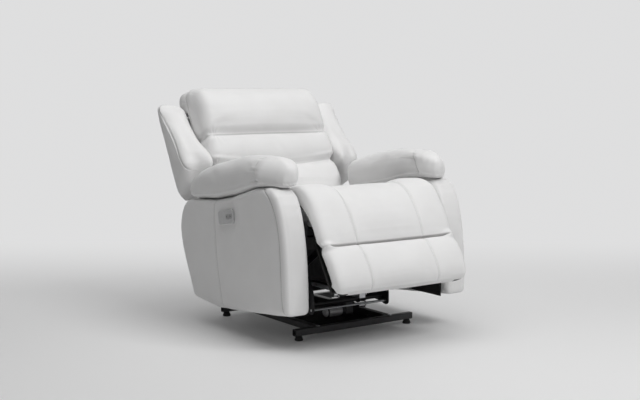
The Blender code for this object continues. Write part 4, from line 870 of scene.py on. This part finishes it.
def pillows():
    """Pillow tops: a long roll drawn in behind a full cap, gathered where the cap is sewn on."""
    obj = joined_copy("pillow_left", "arm_pillow_left")
    even_mesh(obj, size=0.005, rounds=3)
    points = coords(obj)
    x, y, z = points.T
    steps = np.linspace(y.min(), y.max(), 60)
    place = np.clip(np.digitize(y, steps), 1, 59)
    heights = np.array([(z[place == k].min(), z[place == k].max()) for k in range(1, 60)])
    middles = (steps[:-1] + steps[1:]) / 2
    low, high = (np.interp(y, middles, heights[:, k]) for k in range(2))
    span = (z - low) / np.maximum(high - low, 1e-6)
    # Heights of the cap along the arm
    stations = (-0.389, -0.378, -0.362, -0.335, -0.30, -0.26, -0.20)
    floor = np.interp(y, stations, (0.650, 0.632, 0.624, 0.624, 0.622, 0.618, 0.608))
    crown = np.interp(y, stations, (0.676, 0.697, 0.712, 0.727, 0.736, 0.738, 0.7335))
    nose = 1 - smooth(y, -0.26, -0.20)
    z += nose * (floor + span * (crown - floor) - z)
    # The outer side is rounded, and the cap bulges and slants
    outside = -x - PILLOW_MID_X
    rise = np.clip((span - 0.28) / 0.72, 0.0, 0.98)
    ease = 0.78 - 0.40 * smooth(y, -0.10, 0.18)
    x += np.where(outside > 0, ease * outside * (1 - (1 - rise ** 1.6) ** 0.625), 0.0)
    z += 0.007 * smooth(span, 0.3, 1.0)
    x -= 0.007 * smooth(outside, 0.03, 0.07) * np.exp(-((y + 0.292) / 0.026) ** 2)
    y += 0.30 * outside * (1 - smooth(y, -0.30, -0.16))
    y += 0.026 * smooth(y, 0.05, 0.27)
    z -= 0.010 * smooth(y, 0.14, 0.30)
    put(obj, points)
    even_mesh(obj, size=0.005, rounds=3)

    def places():
        points = coords(obj)
        line = -0.238 + SHIFT_Y + 0.33 * (-points[:, 0] - PILLOW_MID_X) + 0.43 * (points[:, 2] - 0.67)
        return points, points[:, 1] - line, normals(obj)

    points, behind, face = places()
    resting = face[:, 2] < -0.55
    press_in(obj, 0.004 * ~resting)
    points, behind, face = places()
    stuff(obj, resting | (np.abs(behind) < 0.004), pressure=4.0, slack=0.006, cap=0.012)
    finer(obj)
    points, behind, face = places()
    free = smooth(face[:, 2], -0.9, -0.5)
    flank = 0.12 + 0.88 * (1 - smooth(face[:, 2], 0.1, 0.85))
    tuck = np.where(behind >= 0, np.exp(-behind / 0.055), np.exp(behind / 0.008))
    press_in(obj, 0.017 * free * flank * tuck)
    points, behind, face = places()
    round_way = np.arctan2(points[:, 2] - PILLOW_MID_Z, -points[:, 0] - PILLOW_MID_X)
    fan = np.sin(round_way * 15 + 1.7 * np.sin(round_way * 5)) * smooth(face[:, 2], -0.2, 0.4)
    fold = fan * np.where(behind < 0, np.exp(behind / 0.020), 0.7 * np.exp(-behind / 0.030))
    press_in(obj, 0.0013 * fold - 0.0014 * ripple(points, length=0.12, seed=52))
    points, behind, face = places()
    # Painted shade along the cap's seam, stronger on the sides than on top
    shade = free * (0.2 + 0.5 * flank) * hill(behind, 0.004)
    dress_pair(obj, "pillow_right", shade, "arm_pillow", "chassis")


def rear_apron():
    """Leather apron between the arms behind, stretched over its board and padded a little."""
    obj = joined_copy("rear_apron_cover", "rear_apron")
    even_mesh(obj, size=0.004, rounds=3)
    points = coords(obj)
    face = normals(obj)
    edge = np.minimum(points[:, 2] - APRON_BEND_Z, APRON_TOP_Z - points[:, 2])
    seam = np.abs(edge - APRON_HEM)
    rear = smooth(face[:, 1], 0.2, 0.6)
    pad = 0.002 * hill(seam, 0.008) - 0.003 * smooth(edge, APRON_HEM, 0.06)
    press_in(obj, rear * pad - 0.0006 * ripple(points, length=0.15, seed=61))
    # Painted shade along the hem seams
    shade_seams(obj, rear * 0.5 * hill(seam, 0.004))
    dress(obj, LEATHER, "chassis", ("rear_apron",))


def cloth_panel(name, places, body="chassis"):
    """A stretched sheet of black cloth through a grid of places, with a real thickness: dust cloth, or the black
    sheet that paints the shadow under the base.
    """
    mesh = bmesh.new()
    bridge(mesh, [[mesh.verts.new(p) for p in row] for row in places])
    obj = keep(name, mesh)
    wall = obj.modifiers.new("wall", "SOLIDIFY")
    wall.thickness = CLOTH_THICKNESS
    wall.offset = 0.0
    settle(obj)
    mesh = opened(obj)
    bmesh.ops.recalc_face_normals(mesh, faces=mesh.faces)
    write_back(mesh, obj)
    dress(obj, LINING, body)


def rear_cloth_place(x, t):
    """A place on the cloth behind the seat, which sags a little between the deck and the apron."""
    (y, z), (run, drop) = DECK_EDGE, APRON_WAY
    return (x, y + run * t, z - drop * t - REAR_CLOTH_SAG * math.sin(math.pi * t))


def linings():
    """Black dust cloth inside the arms, before and behind the seat box and inside the apron, and a black sheet
    under the base as a painted shadow on the floor.
    """
    for name, side in SIDES.items():
        grid = []
        for y in spread(-0.405 + SHIFT_Y, 0.30 + SHIFT_Y, 60):
            low = 0.135 + 0.06 * float(smooth(np.array(y), 0.15, 0.28))
            grid.append([(side * (ARM_INNER_X - 0.0024 + 0.0008 * math.sin(y * 40) * math.sin(z * 31)), y, z)
                         for z in spread(low, 0.50, 30)])
        cloth_panel(f"arm_lining_{name}", grid)
    cloth_panel("seat_box_cloth", [[(x, -0.118 + 0.003 * math.sin(x * 26) * math.sin(z * 18), z)
                                    for z in spread(0.212, 0.343, 14)] for x in spread(-0.186, 0.186, 40)])
    inner, outer = PLATE_INNER_X - 0.001, PLATE_OUTER_X + 0.001
    strips = {"middle": (-inner, inner, 0.0, PLATE_FOOT), "left": (-BOX_HALF, -outer, 0.0, PLATE_FOOT),
              "right": (outer, BOX_HALF, 0.0, PLATE_FOOT), "low": (-BOX_HALF, BOX_HALF, PLATE_FOOT, 1.0)}
    for name, (start, end, top, low) in strips.items():
        cloth_panel(f"seat_rear_cloth_{name}", [[rear_cloth_place(x, t) for t in spread(top, low, 16)]
                                                for x in spread(start, end, 30)])
    foot = 0.255 + SHIFT_Y - 0.0035
    cloth_panel("apron_lining", [[(x, foot + 0.42 * max(z - APRON_BEND_Z, 0.0) + 0.001 * math.sin(x * 33), z)
                                  for z in spread(0.076, 0.276, 24)] for x in spread(-BOX_HALF, BOX_HALF, 60)])
    # A black sheet across the base: painted shadow, standing in for the deep shade on the floor under the chair
    front, rear = -0.262, 0.324
    grid = []
    for x in spread(-0.192, 0.192, 40):
        sag = 0.005 * math.cos(x * 8.1)
        grid.append([(x, y + SHIFT_Y, 0.0194 - sag * math.sin(math.pi * (y - front) / (rear - front)))
                     for y in spread(front, rear, 50)])
    cloth_panel("base_shade_cloth", grid, "base")


# Rows of stitches and fixings

def new_tree(name, numbers, finish):
    """An empty Geometry Nodes tree with a geometry, named numbers and a material as its inputs."""
    tree = bpy.data.node_groups.new(name, "GeometryNodeTree")
    face = tree.interface
    face.new_socket(name="Places", in_out="INPUT", socket_type="NodeSocketGeometry")
    sockets = {n: face.new_socket(name=n, in_out="INPUT", socket_type="NodeSocketFloat") for n in numbers}
    sockets[finish] = face.new_socket(name=finish, in_out="INPUT", socket_type="NodeSocketMaterial")
    face.new_socket(name="Made", in_out="OUTPUT", socket_type="NodeSocketGeometry")
    return tree, sockets, add_node(tree, "NodeGroupInput"), add_node(tree, "GeometryNodeInstanceOnPoints")


def close_tree(tree, given, put_on, finish):
    """Make the instances real and give them their material."""
    real, coated = add_node(tree, "GeometryNodeRealizeInstances"), add_node(tree, "GeometryNodeSetMaterial")
    result = add_node(tree, "NodeGroupOutput")
    wire(tree, (put_on, "Instances", real, "Geometry"), (real, "Geometry", coated, "Geometry"),
         (given, finish, coated, "Material"), (coated, "Geometry", result, "Made"))


def ball(tree, given, segments, rings, sizes):
    """A sphere in a tree, stretched along x, y and z by three of the tree's numbers."""
    sphere = add_node(tree, "GeometryNodeMeshUVSphere", Segments=segments, Rings=rings, Radius=1.0)
    shape, size = add_node(tree, "GeometryNodeTransform"), add_node(tree, "CombineXYZ")
    wire(tree, (sphere, "Mesh", shape, "Geometry"), (size, "Vector", shape, "Scale"),
         *((given, number, size, axis) for number, axis in zip(sizes, "XYZ")))
    return shape


def stitch_tree():
    """Geometry Nodes: a stitch at even steps along each seam."""
    tree, sockets, given, put_on = new_tree("stitch_row", ("Pitch", "Half length", "Half width"), "Thread")
    curve = add_node(tree, "GeometryNodeMeshToCurve")
    even = add_node(tree, "GeometryNodeResampleCurve", mode="LENGTH")
    way = add_node(tree, "GeometryNodeInputTangent")
    turn = add_node(tree, "FunctionNodeAlignRotationToVector", axis="X")
    stitch = ball(tree, given, 6, 4, ("Half length", "Half width", "Half width"))
    wire(tree, (given, "Places", curve, "Mesh"), (curve, "Curve", even, "Curve"), (given, "Pitch", even, "Length"),
         (even, "Curve", put_on, "Points"), (stitch, "Geometry", put_on, "Instance"),
         (way, "Tangent", turn, "Vector"), (turn, "Rotation", put_on, "Rotation"))
    close_tree(tree, given, put_on, "Thread")
    return tree, sockets


def rivet_tree():
    """Geometry Nodes: a low dome on each pin end, flat along the chair's width."""
    tree, sockets, given, put_on = new_tree("rivet_heads", ("Head radius", "Head height"), "Steel")
    dome = ball(tree, given, 20, 10, ("Head height", "Head radius", "Head radius"))
    wire(tree, (given, "Places", put_on, "Points"), (dome, "Geometry", put_on, "Instance"))
    close_tree(tree, given, put_on, "Steel")
    return tree, sockets


def bolt_tree():
    """Geometry Nodes: an upright hexagon bolt head on a round washer at each place."""
    tree, sockets, given, put_on = new_tree("bolt_heads", ("Across corners", "Head height"), "Steel")
    head = add_node(tree, "GeometryNodeMeshCylinder", Vertices=6)
    washer = add_node(tree, "GeometryNodeMeshCylinder", Vertices=24)
    both = add_node(tree, "GeometryNodeJoinGeometry")
    for number, share, size in (("Across corners", WASHER_SPREAD, "Radius"),
                                ("Head height", WASHER_SHARE, "Depth")):
        part = add_node(tree, "Math", operation="MULTIPLY")
        part.inputs[1].default_value = share
        wire(tree, (given, number, head, size), (given, number, part, 0), (part, "Value", washer, size))
    wire(tree, (head, "Mesh", both, "Geometry"), (washer, "Mesh", both, "Geometry"),
         (given, "Places", put_on, "Points"), (both, "Geometry", put_on, "Instance"))
    close_tree(tree, given, put_on, "Steel")
    return tree, sockets


def repeat(name, rows, made, values, body, joined=False):
    """Run a tree on rows of places and keep the result as a plain mesh on a body."""
    tree, sockets = made
    mesh = bmesh.new()
    for row in rows:
        verts = [mesh.verts.new(p) for p in row]
        if joined:
            for a, b in zip(verts, verts[1:]):
                mesh.edges.new((a, b))
    obj = keep(name, mesh)
    make = obj.modifiers.new("repeat", "NODES")
    make.node_group = tree
    for key, value in values.items():
        make[sockets[key].identifier] = value
    settle(obj)
    material = next(v for v in values.values() if isinstance(v, bpy.types.Material))
    dress(obj, material, body)


def stitches():
    """Thread along every sewn row."""
    made = stitch_tree()
    for body, rows in SEWN.items():
        repeat(f"stitching_{body}", rows, made, STITCH, body, joined=True)


def fixings():
    """Rivet heads on the pins of the mechanism, bolts on the base and staples along the cloth."""
    drive, foot, toe, rock = pivot("carrier"), pivot("idler"), pivot("ottoman"), pivot("rock")
    idler_top = (0, foot[1] + drive[1] - pivot("legrest")[1], drive[2])
    heads = {"drive_links": [(LINK_OUTER_X, drive)],
             "idler_links": [(LINK_OUTER_X, idler_top), (PLATE_INNER_X, foot)],
             "carriers": [(BRACKET_OUTER_X, toe)],
             "back": [(PLATE_INNER_X, HINGE)],
             "base": [(PLATE_OUTER_X, rock)]}
    made = rivet_tree()
    for body, pins in heads.items():
        row = [(side * x, spot[1], spot[2]) for x, spot in pins for side in SIDES.values()]
        repeat(f"rivets_{body}", [row], made, RIVET, body)
    rails = [(side * 0.185, y + SHIFT_Y, 0.0478) for side in SIDES.values() for y in (-0.2545, 0.3175)]
    repeat("base_bolts", [rails], bolt_tree(), BOLT, "base")
    rows = []
    for side in SIDES.values():
        x = side * (ARM_INNER_X - 0.0032)
        rows.append([(x, y + SHIFT_Y, 0.494) for y in spread(-0.39, 0.28, 40)])
        rows.append([(x, -0.399 + SHIFT_Y, z) for z in spread(0.145, 0.485, 30)])
    repeat("lining_staples", rows, stitch_tree(), STAPLE, "chassis", joined=True)


# Control plate, motor and other hard details

def rounded_loop(width, height, radius, steps=8):
    """A rectangle with round corners, counter-clockwise about zero."""
    loop = []
    for quarter, (sx, sy) in enumerate(((1, 1), (-1, 1), (-1, -1), (1, -1))):
        for turn in spread(quarter * math.pi / 2, (quarter + 1) * math.pi / 2, steps):
            loop.append((sx * (width / 2 - radius) + radius * math.cos(turn),
                         sy * (height / 2 - radius) + radius * math.sin(turn)))
    return loop


def on_plate(along, up, x):
    """A place on the switch plate, which is turned with the arm's slope."""
    c, s = math.cos(CONTROL_TILT), math.sin(CONTROL_TILT)
    return (x, CONTROL_SPOT[0] + c * along - s * up, CONTROL_SPOT[1] + s * along + c * up)


def ring_of(loops):
    """A closed band through loops of equal counts, the last joined to the first."""
    mesh = bmesh.new()
    made = [[mesh.verts.new(p) for p in loop] for loop in loops]
    bridge(mesh, made + made[:1], closed=True)
    bmesh.ops.recalc_face_normals(mesh, faces=mesh.faces)
    return mesh


def control_details():
    """Rim round the switch plate, and a raised arrow on each button."""
    face = CONTROL_FACE_X
    profile = ((0.118, 0.060, 0.016, 0.0090), (0.118, 0.060, 0.016, 0.0006), (0.1166, 0.0586, 0.0153, -0.0012),
               (0.1140, 0.0560, 0.0140, -0.0018), (0.1085, 0.0505, 0.0112, -0.0018),
               (0.1066, 0.0486, 0.0103, -0.0010), (0.1060, 0.0480, 0.0100, 0.0004),
               (0.1060, 0.0480, 0.0100, 0.0090))
    loops = [[on_plate(a, b, face + depth) for a, b in rounded_loop(w, h, r)] for w, h, r, depth in profile]
    dress(keep("switch_rim", ring_of(loops)), GREY_PLASTIC, "chassis")
    for name, along, way in (("open", -0.039, -1), ("close", -0.013, 1)):
        shape = [(along + way * 0.0052, 0.0), (along - way * 0.0030, 0.0050), (along - way * 0.0014, 0.0),
                 (along - way * 0.0030, -0.0050)]
        levels = [(face - 0.0017, 1.0), (face - 0.0023, 1.0), (face - 0.0026, 0.86)]
        mesh = bmesh.new()
        middle = sum(a for a, _ in shape) / len(shape)
        rings = [[mesh.verts.new(on_plate(middle + (a - middle) * grow, b * grow, x)) for a, b in shape]
                 for x, grow in levels]
        bridge(mesh, rings, closed=True)
        mesh.faces.new(rings[0])
        mesh.faces.new(rings[-1])
        bmesh.ops.recalc_face_normals(mesh, faces=mesh.faces)
        dress(keep(f"{name}_arrow", mesh), BLACK_PLASTIC, f"{name}_button")


def motor_details():
    """A dark band round each end of the motor."""
    low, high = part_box("actuator_motor")
    y, z = (low[1] + high[1]) / 2, (low[2] + high[2]) / 2
    radius = (high[1] - low[1]) / 2

    def around(x, r):
        return [(x, y + r * math.cos(t), z + r * math.sin(t)) for t in spread(0, 2 * math.pi, 49)[:-1]]

    for name, start, width in (("gearbox", high[0] - 0.0125, 0.0115), ("end", low[0] + 0.0085, 0.007)):
        edge = 0.0012
        profile = ((start, -0.001), (start, 0.0008), (start + edge, 0.0018), (start + width - edge, 0.0018),
                   (start + width, 0.0008), (start + width, -0.001))
        band = keep(f"motor_band_{name}", ring_of([around(x, radius + rise) for x, rise in profile]))
        dress(band, BLACK_PLASTIC, "chassis")


def rocker_springs():
    """Coil springs that stand on the base, copied from their solids with the spring finish."""
    for node in (f"rocker_spring_{end}_{side}" for end in ("front", "rear") for side in SIDES):
        coil = joined_copy(f"{node}_coil", node)
        coat(coil, SPRING)
        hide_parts(node)
        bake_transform(coil)


# Finishes of the pieces that keep their solid

def finish_hardware():
    """Give every CAD piece that shows its own procedural finish."""
    by_slot = {"black_steel": STEEL, "base_steel": RAIL_STEEL, "zinc_steel": ZINC, "spring_steel": SPRING,
               "glide_rubber": RUBBER, "plywood": PLYWOOD, "grey_plastic": GREY_PLASTIC,
               "button_plastic": BUTTON_PLASTIC, "black_plastic": BLACK_PLASTIC, "motor_shell": MOTOR_SHELL}
    for part in frame["record"]["subparts"]:
        material = by_slot.get(part["material_slot"])
        if material:
            data = CAD[part["node"]].data
            data.materials.clear()
            data.materials.append(material)


# Room, light and camera

def pale_paper(along):
    """Matt grey paper; far behind the chair the camera sees its plain tone, and near it the shadows stay."""
    material, tree, shader = new_finish("studio_paper", (0.81, 0.81, 0.81), 0.6)
    shader.inputs["Specular IOR Level"].default_value = 0.2
    rays, place = add_node(tree, "LightPath"), add_node(tree, "NewGeometry")
    behind = add_node(tree, "VectorMath", operation="DOT_PRODUCT")
    behind.inputs[1].default_value = along
    seen, seen_too = (add_node(tree, "Math", operation="MAXIMUM") for _ in range(2))
    both = add_node(tree, "Math", operation="MULTIPLY")
    share = vary(tree, behind.outputs["Value"], both.inputs[1], low=0.05, high=1.0, start=-0.4, stop=2.4)
    share.interpolation_type = "SMOOTHSTEP"
    glow = add_node(tree, "Emission", Color=(PAPER_SEEN, PAPER_SEEN, 0.738, 1))
    mix = add_node(tree, "MixShader")
    wire(tree, (place, "Position", behind, 0), (rays, "Is Camera Ray", seen, 0), (rays, "Is Glossy Ray", seen, 1),
         (seen, "Value", seen_too, 0), (rays, "Is Transmission Ray", seen_too, 1), (seen_too, "Value", both, 0),
         (both, "Value", mix, "Fac"), (shader, "BSDF", mix, 1), (glow, "Emission", mix, 2),
         (mix, "Shader", tree.nodes["Material Output"], "Surface"))
    return material


def studio_air():
    """Low even light from all round, which the camera sees as the same pale tone as the paper."""
    world = bpy.data.worlds.new("studio_air")
    world.use_nodes = True
    tree = world.node_tree
    sky = tree.nodes["Background"]
    sky.inputs["Color"].default_value = (1, 1, 1, 1)
    rays = add_node(tree, "LightPath")
    vary(tree, rays.outputs["Is Camera Ray"], sky.inputs["Strength"], WORLD_LIGHT, PAPER_SEEN, start=0.0, stop=1.0)
    return world


def aimed(name, data, place, aim):
    """A lamp or camera in the scene, turned towards a point."""
    obj = bpy.data.objects.new(name, data)
    obj.location = place
    obj.rotation_euler = (Vector(aim) - obj.location).to_track_quat("-Z", "Y").to_euler()
    bpy.context.scene.collection.objects.link(obj)
    return obj


def studio():
    """Pale sweep under and behind the chair, soft light from above and from high in front, and the camera."""
    mesh = bmesh.new()
    bend = [(SWEEP_FLOOR + SWEEP_RADIUS * math.sin(a), SWEEP_RADIUS - SWEEP_RADIUS * math.cos(a))
            for a in spread(0, math.pi / 2, 24)]
    bend = [(-7.0, 0.0)] + bend + [(SWEEP_FLOOR + SWEEP_RADIUS, 9.0)]
    across = Vector((math.cos(SWEEP_TURN), math.sin(SWEEP_TURN), 0))
    along = Vector((-across.y, across.x, 0))
    bridge(mesh, [[mesh.verts.new(across * x + along * run + Vector((0, 0, rise))) for x in (-14, 14)]
                  for run, rise in bend])
    sweep = keep("studio_sweep", mesh)
    coat(sweep, pale_paper(along))

    for name, (place, aim, size, power) in LAMPS.items():
        data = bpy.data.lights.new(name, "AREA")
        data.shape = "RECTANGLE"
        data.size, data.size_y = size
        data.energy = power
        aimed(name, data, place, aim)
    scene = bpy.context.scene
    scene.world = studio_air()
    scene.view_settings.view_transform = "Standard"
    data = bpy.data.cameras.new("camera")
    data.lens, data.sensor_width = 61.875, 36.0
    scene.camera = aimed("camera", data, CAMERA_PLACE, CAMERA_AIM)


studio()
finish_hardware()
back_cushion()
wings()
back_panel()
legrest()
seat()
arms()
pillows()
rear_apron()
linings()
stitches()
fixings()
control_details()
motor_details()
rocker_springs()
